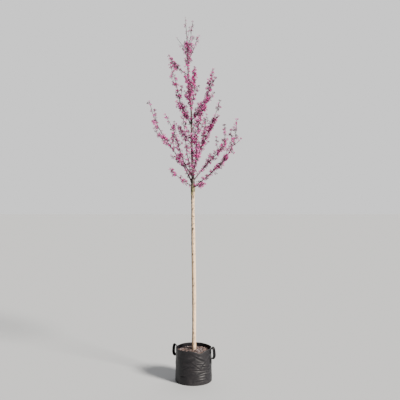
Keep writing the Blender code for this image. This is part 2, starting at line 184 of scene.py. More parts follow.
world = bpy.data.worlds.new("sky")
world.use_nodes = True
background = world.node_tree.nodes["Background"]
background.inputs["Color"].default_value = (*SKY_SHADE, 1)
ray = world.node_tree.nodes.new("ShaderNodeLightPath")
strength = world.node_tree.nodes.new("ShaderNodeMapRange")
strength.inputs["To Min"].default_value = SKY_LIGHT
strength.inputs["To Max"].default_value = SKY_SEEN
world.node_tree.links.new(ray.outputs["Is Camera Ray"], strength.inputs["Value"])
world.node_tree.links.new(strength.outputs[0], background.inputs["Strength"])
bpy.context.scene.world = world
print("stage set")

# %% [markdown]
# ## The rule that the tree grows by
#
# The solids come from a short rule, and the looks have to grow out of the same places, so the rule
# is written again here. The trunk is a smooth curve through a few measured stations. Each limb
# leaves it at a height and ends at a tip, on a line with a bow in it. Twigs and flower clusters
# come one after the other in steps of the golden angle, the way buds sit round a real shoot, and
# one that would hit a neighbour is dropped. Drawing the same random numbers in the same order
# makes the same tree, so every new twig here sits on a limb that is really there.

# %% The trunk's stations
GAP = 0.0003                    # clearance between touching solids
SEED = 18
SOIL_CROWN = 0.290

Station = namedtuple("Station", "height lean_x lean_y diameter")
TRUNK = [
    Station(SOIL_CROWN + GAP, 0.002, 0.000, 0.044),
    Station(0.345, 0.0025, 0.000, 0.0405),
    Station(0.840, 0.003, 0.002, 0.039),
    Station(1.300, -0.004, 0.002, 0.038),
    Station(1.720, -0.008, 0.000, 0.036),
    Station(1.795, -0.007, 0.000, 0.043),
    Station(1.890, -0.007, 0.002, 0.029),
    Station(2.120, -0.016, 0.003, 0.022),
    Station(2.385, -0.020, 0.000, 0.018),
    Station(2.560, -0.026, -0.004, 0.0155),
    Station(2.660, -0.040, -0.006, 0.014),
    Station(2.900, -0.053, -0.003, 0.011),
    Station(3.120, -0.058, 0.003, 0.008),
    Station(3.382, -0.079, 0.000, 0.003),
]
GRAFT_HEIGHT = 1.795
TRUNK_END = 12                  # the station where the mass at the trunk's tip starts
TRUNK_PARTS = 4


def trunk_at(height):
    """Middle of the trunk and its diameter at a height, on a smooth curve through the stations."""
    table = np.array(TRUNK)
    slopes = np.gradient(table, table[:, 0], axis=0)
    low = int(np.clip(np.searchsorted(table[:, 0], height) - 1, 0, len(TRUNK) - 2))
    span = table[low + 1, 0] - table[low, 0]
    t = (height - table[low, 0]) / span
    ends = (1 - t) ** 2 * (1 + 2 * t) * table[low] + t ** 2 * (3 - 2 * t) * table[low + 1]
    bends = t * (1 - t) * ((1 - t) * slopes[low] - t * slopes[low + 1]) * span
    _, lean_x, lean_y, diameter = ends + bends
    return Vector((lean_x, lean_y, height)), diameter


for station in TRUNK[:1] + TRUNK[5:6] + TRUNK[-1:]:
    print(f"{station.height:.3f} m up: {station.diameter * 1000:.1f} mm thick")

# %% [markdown]
# A path needs a frame at every point, an across, a sideways and an along, for things to be put
# round it. Carrying the frame on from point to point with the least turning keeps it from
# spinning, which a frame worked out afresh at each point does wherever the path is steep.

# %% Frames along a path

def path_frames(points):
    """A frame at each point of a path, its Z along the path, carried on with the least turning."""
    chords = [(after - before).normalized() for before, after in zip(points, points[1:])]
    bends = [(before + after).normalized() for before, after in zip(chords, chords[1:])]
    tangents = [chords[0], *bends, chords[-1]]
    turn = Vector((0, 0, 1)).rotation_difference(tangents[0])
    frames = []
    for point, before, tangent in zip(points, [tangents[0], *tangents], tangents):
        turn = before.rotation_difference(tangent) @ turn
        frames.append(Matrix.LocRotScale(point, turn, None))
    return frames


def lengths_along(points):
    """How far along its path each point lies."""
    return np.cumsum([0] + [(b - a).length for a, b in zip(points, points[1:])])


def places_along(points, widths):
    """The frames of a path, each scaled to the radius of its section."""
    return [frame @ Matrix.Diagonal((width, width, 1.0, 1.0))
            for frame, width in zip(path_frames(points), widths)]


def trunk_places():
    """Places of the solid trunk's rings, and the one where its end mass takes over."""
    steps = [step / TRUNK_PARTS for step in range(TRUNK_PARTS)]
    heights = [low.height + (high.height - low.height) * step
               for low, high in zip(TRUNK, TRUNK[1:]) for step in steps]
    points, diameters = zip(*[trunk_at(height) for height in [*heights, TRUNK[-1].height]])
    places = places_along(points, [diameter / 2 for diameter in diameters])
    level_cut = Matrix.LocRotScale(places[0].to_translation(), None, places[0].to_scale())
    return [level_cut, *places[1:]], TRUNK_END * TRUNK_PARTS


trunk_rings, trunk_end = trunk_places()
print(len(trunk_rings), "trunk rings, the solid trunk's last one is number", trunk_end)

# %% [markdown]
# Each limb is one row of a table: where it leaves the trunk, how far its tip lies from there, how
# it bends, how thick it starts, and what share of it is bare. Forks are side shoots too long to be
# left to the twigs. A table of named sizes is easier to mend than a list of points, and a limb can
# be asked for its place at any fineness.

# %% The limbs
Limb = namedtuple("Limb", "name foot side depth rise bow sway thick bare")
LIMBS = [
    Limb("low_left_short", 1.808, -0.195, -0.130, 0.150, 0.10, 0.00, 0.007, 0.42),
    Limb("low_left_long", 1.825, -0.410, 0.060, 0.780, 0.06, -0.05, 0.011, 0.20),
    Limb("low_left_front", 1.890, -0.240, -0.240, 0.545, 0.02, 0.06, 0.009, 0.24),
    Limb("low_left_back", 1.850, -0.100, 0.360, 0.640, 0.16, 0.00, 0.009, 0.24),
    Limb("mid_left", 2.200, -0.150, 0.200, 0.215, 0.03, 0.00, 0.006, 0.26),
    Limb("tall_left", 2.385, -0.190, -0.120, 0.525, 0.13, 0.06, 0.008, 0.14),
    Limb("leader_left_low", 2.575, -0.050, -0.100, 0.095, 0.00, 0.00, 0.005, 0.00),
    Limb("leader_left_mid", 2.740, -0.035, -0.070, 0.110, 0.05, 0.00, 0.005, 0.00),
    Limb("high_left", 2.850, -0.178, 0.080, 0.190, 0.16, 0.00, 0.006, 0.18),
    Limb("leader_left_top", 3.075, -0.098, 0.070, 0.135, 0.03, 0.00, 0.004, 0.00),
    Limb("low_right_long", 1.795, 0.405, -0.060, 0.620, 0.30, 0.00, 0.010, 0.22),
    Limb("low_right_short", 1.805, 0.105, -0.170, 0.022, 0.08, 0.00, 0.006, 0.28),
    Limb("low_right_front", 1.870, 0.050, -0.360, 0.580, 0.18, 0.00, 0.009, 0.24),
    Limb("low_right_wide", 1.860, 0.300, 0.140, 0.530, 0.26, -0.07, 0.009, 0.22),
    Limb("low_right_back", 1.925, 0.130, 0.330, 0.600, 0.14, 0.00, 0.008, 0.24),
    Limb("mid_right_inner", 1.955, 0.245, -0.170, 0.615, 0.00, -0.03, 0.009, 0.22),
    Limb("mid_right_spur", 2.120, 0.076, -0.110, 0.075, 0.04, 0.00, 0.005, 0.00),
    Limb("mid_right_short", 2.235, 0.078, -0.130, 0.160, 0.06, 0.00, 0.006, 0.00),
    Limb("tall_right", 2.335, 0.202, 0.100, 0.585, 0.19, 0.03, 0.008, 0.16),
    Limb("upper_right_front", 2.420, 0.133, -0.215, 0.155, 0.00, 0.00, 0.006, 0.24),
    Limb("upper_front", 2.470, -0.030, -0.220, 0.400, 0.18, 0.00, 0.006, 0.20),
    Limb("upper_back", 2.500, 0.030, 0.230, 0.390, 0.18, 0.00, 0.006, 0.20),
    Limb("leader_right_mid", 2.640, 0.042, 0.110, 0.295, 0.24, 0.00, 0.005, 0.14),
    Limb("leader_right_high", 2.990, 0.099, 0.050, 0.235, 0.08, 0.04, 0.005, 0.00),
    Limb("leader_right_top", 3.060, 0.046, -0.045, 0.265, 0.10, 0.00, 0.004, 0.00),
]
Fork = namedtuple("Fork", "limb share side depth rise")
FORKS = [
    Fork("low_left_long", 0.44, -0.155, -0.060, 0.175),
    Fork("low_right_long", 0.60, -0.010, -0.090, 0.140),
    Fork("low_right_wide", 0.52, -0.015, -0.050, 0.130),
    Fork("low_left_back", 0.50, 0.080, 0.070, 0.150),
    Fork("low_right_back", 0.48, 0.090, 0.040, 0.160),
    Fork("low_right_front", 0.50, -0.090, -0.050, 0.150),
    Fork("mid_right_inner", 0.55, 0.075, -0.060, 0.130),
    Fork("tall_right", 0.70, 0.055, -0.040, 0.080),
]
LIMB_TIP = 0.003
LIMB_TAPER = 0.85               # below 1 keeps it thick for longer
LIMB_STEP = 0.070               # length of one faceted stretch of the solid


def span(shoot):
    """The straight distance from a limb's or a fork's foot to its tip."""
    return math.hypot(shoot.side, shoot.depth, shoot.rise)


def limb_point(limb, t):
    """A point on a limb's middle line, from 0 in the trunk's middle to 1 at its tip."""
    out = t + limb.bow * math.sin(math.pi * t) + limb.sway * math.sin(math.tau * t)
    return trunk_at(limb.foot)[0] + Vector((limb.side * out, limb.depth * out, limb.rise * t))


def limb_radius(limb, t):
    """A limb's radius, from its foot at 0 to its tip at 1."""
    return (LIMB_TIP + (limb.thick - LIMB_TIP) * (1 - t) ** LIMB_TAPER) / 2


def limb_places(limb):
    """Places of a solid limb's rings, and the one where its bough ends and its mass starts."""
    bough_steps = math.ceil(limb.bare * span(limb) / LIMB_STEP)
    mass_steps = math.ceil((1 - limb.bare) * span(limb) / LIMB_STEP)
    shares = [limb.bare * step / bough_steps for step in range(bough_steps)]
    shares += [1 - (1 - limb.bare) * left / mass_steps for left in range(mass_steps, -1, -1)]
    points = [limb_point(limb, t) for t in shares]
    return places_along(points, [limb_radius(limb, t) for t in shares]), bough_steps


def stem_places(places, first):
    """The places from one ring on, the first moved up by the clearance."""
    lift = Matrix.Translation(places[first].to_3x3().col[2] * GAP)
    return [lift @ places[first], *places[first + 1:]]


print(len(LIMBS), "limbs and", len(FORKS), "forks")

# %% [markdown]
# Twigs and flower clusters need no table, since one measure for each does for all of them. A twig
# leans out of its stem and lifts its tip again. A cluster is a small egg with its foot in the bark.
# Both are only places here: a middle line, or a frame with a size in it.

# %% Twigs and clusters in turn round their stem
GOLDEN_TURN = math.radians(137.5)
TWIG_SPACING = 0.125
TWIG_LONGEST = 0.105
TWIG_SHORTEST = 0.025
TWIG_SHARE = 0.45               # of the length of stem left beyond it
TWIG_THICKNESS = 0.0036
FORK_THICKNESS = 0.0046
FORK_BOW = 0.12
TWIG_TIP = 0.0022
TWIG_STEPS = 3
TWIG_LEAN = math.radians(42)
TWIG_LIFT = 0.35                # how far a twig turns up again towards its tip
CLUSTER_SPACING = 0.055
CLUSTER_LENGTH = 0.026
CLUSTER_WIDTH = 0.015
CLUSTER_ROOT = 0.001
CLUSTER_LEAN = math.radians(58)
SPREAD = 0.15                   # how far lengths and spacings vary


def varied(rng, spread=SPREAD):
    """A factor near 1."""
    return rng.uniform(1 - spread, 1 + spread)


def path_length(places):
    """The length of a path through places."""
    return sum((b.translation - a.translation).length for a, b in zip(places, places[1:]))


def frame_at(places, distance):
    """The frame, with no scale, at a distance along a path."""
    for before, after in zip(places, places[1:]):
        start, end = before.translation, after.translation
        length = (end - start).length
        if distance <= length:
            turn = before.to_quaternion().slerp(after.to_quaternion(), distance / length)
            return Matrix.LocRotScale(start.lerp(end, distance / length), turn, None)
        distance -= length
    return Matrix.LocRotScale(places[-1].translation, places[-1].to_quaternion(), None)


def even_radii(count, thick, thin):
    """Radii of a shoot that tapers evenly from one thickness to another."""
    return [(thick + (thin - thick) * step / (count - 1)) / 2 for step in range(count)]


def shoot_places(points, thickness):
    """Places of a thin shoot that tapers evenly to a twig's tip."""
    return places_along(points, even_radii(len(points), thickness, TWIG_TIP))


def twig_points(frame, turn, length, steps, foot_lean=TWIG_LEAN):
    """A twig's middle line: it leans out of its stem and lifts its tip again."""
    outwards = frame @ Matrix.Rotation(turn, 4, "Z")
    points = []
    for step in range(steps + 1):
        t = step / steps
        lean = foot_lean * (1 - TWIG_LIFT * t)
        points.append(outwards @ (Vector((math.sin(lean), 0.0, math.cos(lean))) * length * t))
    return points


def fork_points(limb, fork, steps):
    """A fork's middle line, which goes out before it goes up, as its limb does."""
    points = []
    for step in range(steps + 1):
        t = step / steps
        out = t + FORK_BOW * math.sin(math.pi * t)
        offset = Vector((fork.side * out, fork.depth * out, fork.rise * t))
        points.append(limb_point(limb, fork.share) + offset)
    return points


def cluster_place(frame, turn, lean, size):
    """Place of a flower cluster that leans out of its twig, its root past the twig's middle."""
    outwards = frame @ Matrix.Rotation(turn, 4, "Z") @ Matrix.Rotation(lean, 4, "Y")
    middle = Matrix.Translation((0, 0, size * CLUSTER_LENGTH / 2 - CLUSTER_ROOT))
    half = (size * CLUSTER_WIDTH / 2, size * CLUSTER_WIDTH / 2, size * CLUSTER_LENGTH / 2, 1.0)
    return outwards @ middle @ Matrix.Diagonal(half)


print("a new twig every", TWIG_SPACING * 1000, "mm,",
      "a cluster every", CLUSTER_SPACING * 1000, "mm")

# %% [markdown]
# Keeping clear of neighbours needs a quick test. Each limb, twig and cluster is stood for by a
# string of balls, and a newcomer is welcome where none of its balls meets another limb's. Testing
# the meshes themselves would be exact, but slow, and a tree forgives a ball's roundness.

# %% Room round the limbs
BALL_MARGIN = 1.2               # balls this much larger leave no gap between them


class Space:
    """The room that each limb, twig and cluster takes, as balls that others keep clear of."""

    def __init__(self):
        self.owners = []
        self.balls = []

    def take(self, owner, balls):
        """Note balls as taken by an owner."""
        self.owners += [owner] * len(balls)
        self.balls += balls

    def is_free(self, owner, balls):
        """Whether balls keep clear of all that others have taken."""
        others = np.array([ball for name, ball in zip(self.owners, self.balls) if name != owner])
        for x, y, z, radius in balls:
            away = np.linalg.norm(others[:, :3] - (x, y, z), axis=1)
            if np.any(away < others[:, 3] + radius + 2 * GAP):
                return False
        return True


def balls_along(places):
    """Balls that hold a tapering piece, closely enough spaced to leave no way through."""
    balls = []
    for before, after in zip(places, places[1:]):
        start, end = before.translation, after.translation
        radius = before.to_scale().x
        count = max(1, math.ceil((end - start).length / radius))
        for step in range(count + 1):
            balls.append((*start.lerp(end, step / count), radius * BALL_MARGIN))
    return balls


print("room is kept with a clearance of", 2 * GAP * 1000, "mm")

# %% Twigs and clusters that find room
Twig = namedtuple("Twig", "places frame turn reach")


def grow_twigs(name, stem, space, rng):
    """Twigs in turn round a stem, each kept if it is long enough and finds free room."""
    twigs = []
    length = path_length(stem)
    distance = TWIG_SPACING / 2
    turn = rng.uniform(0, math.tau)
    while distance < length:
        reach = min(TWIG_LONGEST, TWIG_SHARE * (length - distance)) * varied(rng)
        foot = frame_at(stem, distance)
        places = shoot_places(twig_points(foot, turn, reach, TWIG_STEPS), TWIG_THICKNESS)
        if reach > TWIG_SHORTEST and space.is_free(name, balls_along(places)):
            space.take(name, balls_along(places))
            twigs.append(Twig(places, foot, turn, reach))
        turn += GOLDEN_TURN
        distance += TWIG_SPACING * varied(rng)
    return twigs


def grow_clusters(name, line, space, rng):
    """Clusters in turn along a stem and one on its tip, each kept if it finds free room."""
    length = path_length(line)
    count = max(1, round(length / CLUSTER_SPACING))
    turn = rng.uniform(0, math.tau)
    spots = [(length * (number + 0.5) / count, CLUSTER_LEAN) for number in range(count)]
    spots.append((length, 0.0))
    free = []
    for spot, lean in spots:
        place = cluster_place(frame_at(line, spot), turn, lean, varied(rng))
        turn += GOLDEN_TURN
        ball = (*place.translation, place.to_scale().z)
        if space.is_free(name, [ball]):
            space.take(name, [ball])
            free.append(place)
    return free


print("a twig shorter than", TWIG_SHORTEST * 1000, "mm isn't kept")

# %% [markdown]
# Now the rule runs, in the order in which the solids were made: first every limb takes its room,
# then mass by mass the twigs, then the clusters. What comes out is kept per mass, because the finer
# growth that follows starts from these lines.

# %% Grow the same tree
space = Space()
space.take("trunk", balls_along(trunk_rings[:trunk_end + 1]))
stems = {"leader_tip": stem_places(trunk_rings, trunk_end)}
for limb in LIMBS:
    rings, bough_end = limb_places(limb)
    if bough_end:
        space.take(f"bough_{limb.name}", balls_along(rings[1:bough_end + 1]))
        rings = stem_places(rings, bough_end)
    stems[limb.name] = rings
limb_named = {limb.name: limb for limb in LIMBS}
forks_of = {name: [fork for fork in FORKS if fork.limb == name] for name in stems}
fork_rings = {name: [shoot_places(fork_points(limb_named[name], fork, TWIG_STEPS), FORK_THICKNESS)
                     for fork in forks] for name, forks in forks_of.items()}
for name, rings in stems.items():
    for line in [rings, *fork_rings[name]]:
        space.take(f"mass_{name}", balls_along(line))

rng = random.Random(SEED)
twigs_of = {}
clusters_of = {}
for name, stem in stems.items():
    twigs_of[name] = grow_twigs(f"mass_{name}", stem, space, rng)
    lines = [stem, *fork_rings[name], *[twig.places for twig in twigs_of[name]]]
    clusters_of[name] = [place for line in lines
                         for place in grow_clusters(f"mass_{name}", line, space, rng)]
print(sum(map(len, twigs_of.values())), "twigs and",
      sum(map(len, clusters_of.values())), "clusters")

# %% [markdown]
# ## Finer lines than the solids have
#
# The solids step along a limb in stretches of seven centimetres. Here the same curves are read
# every few millimetres, and bent a little to and fro at each bud, because such shoots grow in a
# slight zigzag and a clean arc looks like wire. A shoot that starts on a bent line is moved onto
# it.

# %% Fine lines for trunk, limbs, forks and twigs
TRUNK_FOOT = 0.281              # a little under the soil's surface
CLEAR_STEP = 0.0021             # ring spacing on the clear stem, fine enough for bark pores
LEADER_STEP = 0.0036
ABOVE_GRAFT = 0.05              # how far above the graft the swelling is over
LIMB_FINE_STEP = 0.0055
TWIG_FINE_STEP = 0.0045
LIMB_BUD_GAP = 0.034            # from one bend of the zigzag to the next
TWIG_BUD_GAP = 0.017
LIMB_SWING = 0.0016
TWIG_SWING = 0.0007
COLLAR = 0.75                   # how much a limb swells where it leaves the trunk
COLLAR_LENGTH = 0.010

Line = namedtuple("Line", "mass points radii start")
detail_rng = random.Random(SEED + 1)


def zigzag(points, bud_gap, swing, rng):
    """Bend a line to and fro from bud to bud, starting gently at its foot."""
    side = Vector((rng.uniform(-1, 1), rng.uniform(-1, 1), 0.2)).normalized()
    phase = rng.random()
    bent = []
    distance = 0.0
    for before, point in zip([points[0], *points], points):
        distance += (point - before).length
        wave = (distance / bud_gap / 2 + phase) % 1
        swing_now = swing * (4 * abs(wave - 0.5) - 1) * min(1, distance / (2 * bud_gap))
        bent.append(point + side * swing_now)
    return bent


def moved_onto(points, line_points):
    """Shift a shoot so that it starts on its own stem's bent line."""
    nearest = min(line_points, key=lambda point: (point - points[0]).length)
    return [point + (nearest - points[0]) for point in points]


def limb_line(limb):
    """A limb's fine line from inside the trunk to its tip, with a collar at the trunk."""
    steps = math.ceil(span(limb) / LIMB_FINE_STEP)
    points = zigzag([limb_point(limb, step / steps) for step in range(steps + 1)],
                    LIMB_BUD_GAP, LIMB_SWING, detail_rng)
    radii = []
    for step, point in enumerate(points):
        axis, diameter = trunk_at(min(point.z, TRUNK[-1].height))
        outside = max(0.0, math.hypot(point.x - axis.x, point.y - axis.y) - diameter / 2)
        swell = 1 + COLLAR * math.exp(-outside / COLLAR_LENGTH)
        radii.append(limb_radius(limb, step / steps) * swell)
    return Line(limb.name, points, radii, limb.bare)


heights = list(np.arange(TRUNK_FOOT, GRAFT_HEIGHT + ABOVE_GRAFT, CLEAR_STEP))
heights += list(np.arange(heights[-1] + LEADER_STEP, TRUNK[-1].height, LEADER_STEP))
trunk_line = Line("leader_tip", [trunk_at(height)[0] for height in heights],
                  [trunk_at(height)[1] / 2 for height in heights], 0.0)
limb_lines = {limb.name: limb_line(limb) for limb in LIMBS}
print(len(heights), "rings up the trunk,", sum(len(line.points) for line in limb_lines.values()),
      "along the limbs")

# %% [markdown]
# Forks and twigs are treated alike, only finer. Each is read from the same middle line that placed
# its solid, bent at its buds, and then moved onto the bent line of the limb that carries it.

# %% Fork and twig lines

def fine_shoot(mass, points, stem_line, thickness):
    """A fork's or a twig's fine line, bent at its buds and moved onto its stem."""
    bent = zigzag(points, TWIG_BUD_GAP, TWIG_SWING, detail_rng)
    bent = moved_onto(bent, stem_line.points)
    return Line(mass, bent, even_radii(len(bent), thickness, TWIG_TIP), 0.0)


fork_lines = []
for fork in FORKS:
    steps = math.ceil(span(fork) / TWIG_FINE_STEP)
    points = fork_points(limb_named[fork.limb], fork, steps)
    fork_lines.append(fine_shoot(fork.limb, points, limb_lines[fork.limb], FORK_THICKNESS))

twig_lines = []
for name, twigs in twigs_of.items():
    stem_line = limb_lines.get(name, trunk_line)
    for twig in twigs:
        steps = math.ceil(twig.reach / TWIG_FINE_STEP)
        points = twig_points(twig.frame, twig.turn, twig.reach, steps)
        twig_lines.append(fine_shoot(name, points, stem_line, TWIG_THICKNESS))
print(len(fork_lines), "forks and", len(twig_lines), "twigs drawn fine")

# %% [markdown]
# The solids stop at twigs as long as a hand. A real shoot goes on to finger-long spurs, so the same
# rule is run once more, at a smaller scale, on every limb, fork and twig. They are short enough to
# stay within the reach that the solids already have.

# %% Spurs, the finest twigs
SPUR_SPACING = 0.046
SPUR_LONGEST = 0.036
SPUR_SHORTEST = 0.010
SPUR_THICKNESS = 0.0024
SPUR_TIP = 0.0013
SPUR_FADE, SPUR_LEAST = 0.2, 0.4    # spurs shorten over this last length, down to this share
STEP_SPREAD = 0.3               # how far the steps between spurs and between bunches vary
GARLAND_LEAN = math.radians(70)  # spurs stand out more where they are crowded
Garland = namedtuple("Garland", "limb start end spacing longest")
GARLANDS = [                    # where a limb is thicker with spurs and flowers than elsewhere
    Garland("tall_left", 0.06, 0.36, 0.0062, 0.066),
    Garland("tall_left", 0.40, 0.75, 0.0260, 0.028),
    Garland("tall_right", 0.12, 0.52, 0.0095, 0.056),
    Garland("tall_right", 0.52, 0.92, 0.0180, 0.036),
    Garland("high_left", 0.10, 0.95, 0.0200, 0.020),
    Garland("leader_right_mid", 0.05, 0.95, 0.0180, 0.018),
    Garland("low_left_back", 0.15, 0.45, 0.0200, 0.040),
    Garland("low_left_front", 0.12, 0.55, 0.0180, 0.044),
    Garland("low_left_long", 0.18, 0.60, 0.0180, 0.042),
    Garland("low_left_short", 0.10, 0.95, 0.0230, 0.020),
    Garland("low_right_long", 0.14, 0.66, 0.0170, 0.040),
    Garland("low_right_wide", 0.10, 0.34, 0.0260, 0.022),
    Garland("low_right_wide", 0.42, 0.80, 0.0150, 0.044),
    Garland("mid_right_inner", 0.30, 0.75, 0.0230, 0.034),
    Garland("upper_right_front", 0.15, 0.95, 0.0200, 0.024),
]
LEADER_SPURS = [                # from, to, spacing, longest
    (1.95, 2.34, 0.040, 0.024),
    (2.34, 2.93, 0.026, 0.030),
    (2.93, 3.02, 0.0075, 0.044),
    (3.02, 3.13, 0.0034, 0.062),
    (3.13, 3.17, 0.0060, 0.040),
]


def along(line, distance):
    """The number of the ring nearest to a distance along a line, and the line's length."""
    steps = lengths_along(line.points)
    return int(np.abs(steps - distance).argmin()), steps[-1]


def grow_spurs(line, rng, start, end=1.0, spacing=SPUR_SPACING, longest=SPUR_LONGEST,
               lean=TWIG_LEAN):
    """Short shoots in turn round a line, from one share of its length to another."""
    frames = path_frames(line.points)
    length = along(line, 0)[1]
    distance = start * length + spacing * rng.uniform(0.3, 0.8)
    turn = rng.uniform(0, math.tau)
    spurs = []
    while distance < end * length - SPUR_SHORTEST:
        ring, _ = along(line, distance)
        shortened = min(1, SPUR_LEAST + (length - distance) / SPUR_FADE)
        reach = rng.uniform(SPUR_SHORTEST, longest) * shortened
        steps = max(3, math.ceil(reach / TWIG_FINE_STEP))
        points = twig_points(frames[ring], turn, reach, steps, lean)
        radii = even_radii(len(points), SPUR_THICKNESS, SPUR_TIP)
        spurs.append(Line(line.mass, points, radii, 0.0))
        turn += GOLDEN_TURN
        distance += spacing * varied(rng, STEP_SPREAD)
    return spurs


def share_up(height):
    """The share of the trunk's line that lies below a height."""
    return (height - TRUNK_FOOT) / (TRUNK[-1].height - TRUNK_FOOT)


spur_lines = [spur for line in [*limb_lines.values(), *fork_lines, *twig_lines]
              for spur in grow_spurs(line, detail_rng, line.start)]
for part in GARLANDS:
    spur_lines += grow_spurs(limb_lines[part.limb], detail_rng, *part[1:], GARLAND_LEAN)
for low, high, spacing, longest in LEADER_SPURS:
    spur_lines += grow_spurs(trunk_line, detail_rng, share_up(low), share_up(high),
                             spacing, longest, GARLAND_LEAN)
print(len(spur_lines), "spurs, in all",
      round(sum(along(line, 0)[1] for line in spur_lines), 1), "m")

# %% [markdown]
# ## From lines to bark
#
# A tube could come from a curve with a bevel, but a curve can't carry relief that knows how far
# round and how far along it is. So each limb starts as a flat grid, which is rolled up and drawn
# along its line. Every vertex keeps its place on the straightened limb in an attribute, and the
# bark's pattern reads that, so that its streaks run with the limb however the limb leans.

# %% Roll a sheet into a tube
WELD = 1e-7                     # closer than this, two corners are one


def close_tube(bm):
    """Sew a rolled sheet along its seam and cap its two ends."""
    bmesh.ops.remove_doubles(bm, verts=bm.verts, dist=WELD)
    bmesh.ops.holes_fill(bm, edges=[edge for edge in bm.edges if edge.is_boundary], sides=0)


def rolled(points, radii, sides, relief=None, marks=None):
    """A closed tube: a grid rolled round a line, with relief and marks by ring and side."""
    rings = len(points) - 1
    bm = bmesh.new()
    bmesh.ops.create_grid(bm, x_segments=sides, y_segments=rings, size=0.5)
    straight = bm.verts.layers.float_vector.new("straight")
    layers = {name: bm.verts.layers.float.new(name) for name in marks or {}}
    frames = path_frames(points)
    reach = lengths_along(points)
    for vert in bm.verts:
        side = round((vert.co.x + 0.5) * sides) % sides
        ring = round((vert.co.y + 0.5) * rings)
        turn = math.tau * side / sides
        radius = radii[ring] + (relief[ring, side] if relief is not None else 0.0)
        around = Vector((math.cos(turn) * radius, math.sin(turn) * radius, 0))
        vert[straight] = (around.x, around.y, reach[ring])
        for name, layer in layers.items():
            vert[layer] = marks[name][ring, side]
        vert.co = frames[ring] @ around
    close_tube(bm)
    return bm


def joined(parts):
    """Gather several bmeshes in one."""
    whole = bmesh.new()
    for part in parts:
        mesh = mesh_of("part", part)
        whole.from_mesh(mesh)
        bpy.data.meshes.remove(mesh)
    return whole


def keep(name, bm, material, nodes, sharp=40):
    """Make a piece of a bmesh, let it ride on the tree's one body, and say what it stands for."""
    return keep_mesh(name, mesh_of(name, bm), material, nodes, sharp)


def keep_mesh(name, mesh, material, nodes, sharp):
    """The same for a finished mesh. Edges sharper than so many degrees stay sharp."""
    mesh.materials.append(material)
    mesh.shade_smooth()
    mesh.set_sharp_from_angle(angle=math.radians(sharp))
    piece = in_scene(name, mesh)
    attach(piece, "root")
    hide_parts(*nodes)
    triangles = sum(len(face.vertices) - 2 for face in mesh.polygons)
    print(f"{name}: {triangles} triangles, stands for {len(nodes)} nodes")
    return piece


trial = rolled([Vector((0, 0, 0)), Vector((0, 0, 1))], [1.0, 1.0], 6)
print("a rolled sheet of six sides closes into", len(trial.faces), "faces,",
      "outwards" if trial.calc_volume(signed=True) > 0 else "inside out")
trial.free()

# %% [markdown]
# Materials are built of nodes. One small helper adds a node and feeds it from sockets or plain
# values, which keeps a material readable as a list of what is done to its colour.

# %% Node helpers

def feed(tree, node, inputs):
    """Feed a node's inputs from sockets or plain values."""
    for key, value in inputs.items():
        if isinstance(value, bpy.types.NodeSocket):
            tree.links.new(value, node.inputs[key])
        else:
            node.inputs[key].default_value = value
    return node


def add(tree, kind, inputs=None, **settings):
    """Add a node, set it and feed it."""
    node = tree.nodes.new(f"ShaderNode{kind}")
    for key, value in settings.items():
        setattr(node, key, value)
    return feed(tree, node, inputs or {})


def maths(tree, operation, first, second=0.0):
    """One sum on two values."""
    return add(tree, "Math", {0: first, 1: second}, operation=operation).outputs[0]


def times(tree, first, second):
    """Two masks or values multiplied."""
    return maths(tree, "MULTIPLY", first, second)


def plus(tree, first, second):
    """Two masks or values added."""
    return maths(tree, "ADD", first, second)


def ranged(tree, value, low, high, to_low=0.0, to_high=1.0):
    """Stretch a value from one range to another, held at its ends."""
    stretch = {"Value": value, "From Min": low, "From Max": high,
               "To Min": to_low, "To Max": to_high}
    return add(tree, "MapRange", stretch, clamp=True).outputs[0]


def mixed(tree, mask, first, second):
    """One colour where the mask is 0, the other where it is 1."""
    colours = {0: mask}
    for socket, colour in ((6, first), (7, second)):
        colours[socket] = colour if isinstance(colour, bpy.types.NodeSocket) else (*colour, 1.0)
    return add(tree, "Mix", colours, data_type="RGBA").outputs[2]


def shaded(colour, factor):
    """The same colour, darker or lighter."""
    return tuple(channel * factor for channel in colour)


def noise_of(tree, vector, scale, detail=3.0, roughness=0.55):
    """Soft noise from 0 to 1."""
    inputs = {"Vector": vector, "Scale": scale, "Detail": detail, "Roughness": roughness}
    return add(tree, "TexNoise", inputs).outputs[0]


def attribute(tree, name, output="Fac"):
    """What the mesh itself says at a point."""
    return add(tree, "Attribute", attribute_name=name).outputs[output]


def place_of(tree):
    """Where a point of the piece lies."""
    return add(tree, "TexCoord").outputs["Object"]


def height_of(tree, place):
    """How high it lies."""
    return add(tree, "SeparateXYZ", {0: place}).outputs[2]


def side_facing(tree, place, direction):
    """How far a point lies towards a side."""
    both = {0: place, 1: direction}
    return add(tree, "VectorMath", both, operation="DOT_PRODUCT").outputs["Value"]


def new_finish(name, roughness=0.6):
    """A material with its tree and its shader."""
    material = bpy.data.materials.new(name)
    material.use_nodes = True
    shader = material.node_tree.nodes["Principled BSDF"]
    shader.inputs["Roughness"].default_value = roughness
    return material, material.node_tree, shader


def relief_on(tree, shader, height, distance, strength):
    """Bump a surface by a height."""
    bump = add(tree, "Bump", {"Height": height, "Distance": distance, "Strength": strength})
    tree.links.new(bump.outputs["Normal"], shader.inputs["Normal"])


print("helpers for nodes:", [helper.__name__ for helper in (feed, add, maths, ranged, mixed)])

# %% [markdown]
# Three effects turn up on more than one finish, so each is a node group with named sockets:
# streaks that run along a limb, pores that lie across it, and dirt in soft patches.

# %% Shared effects

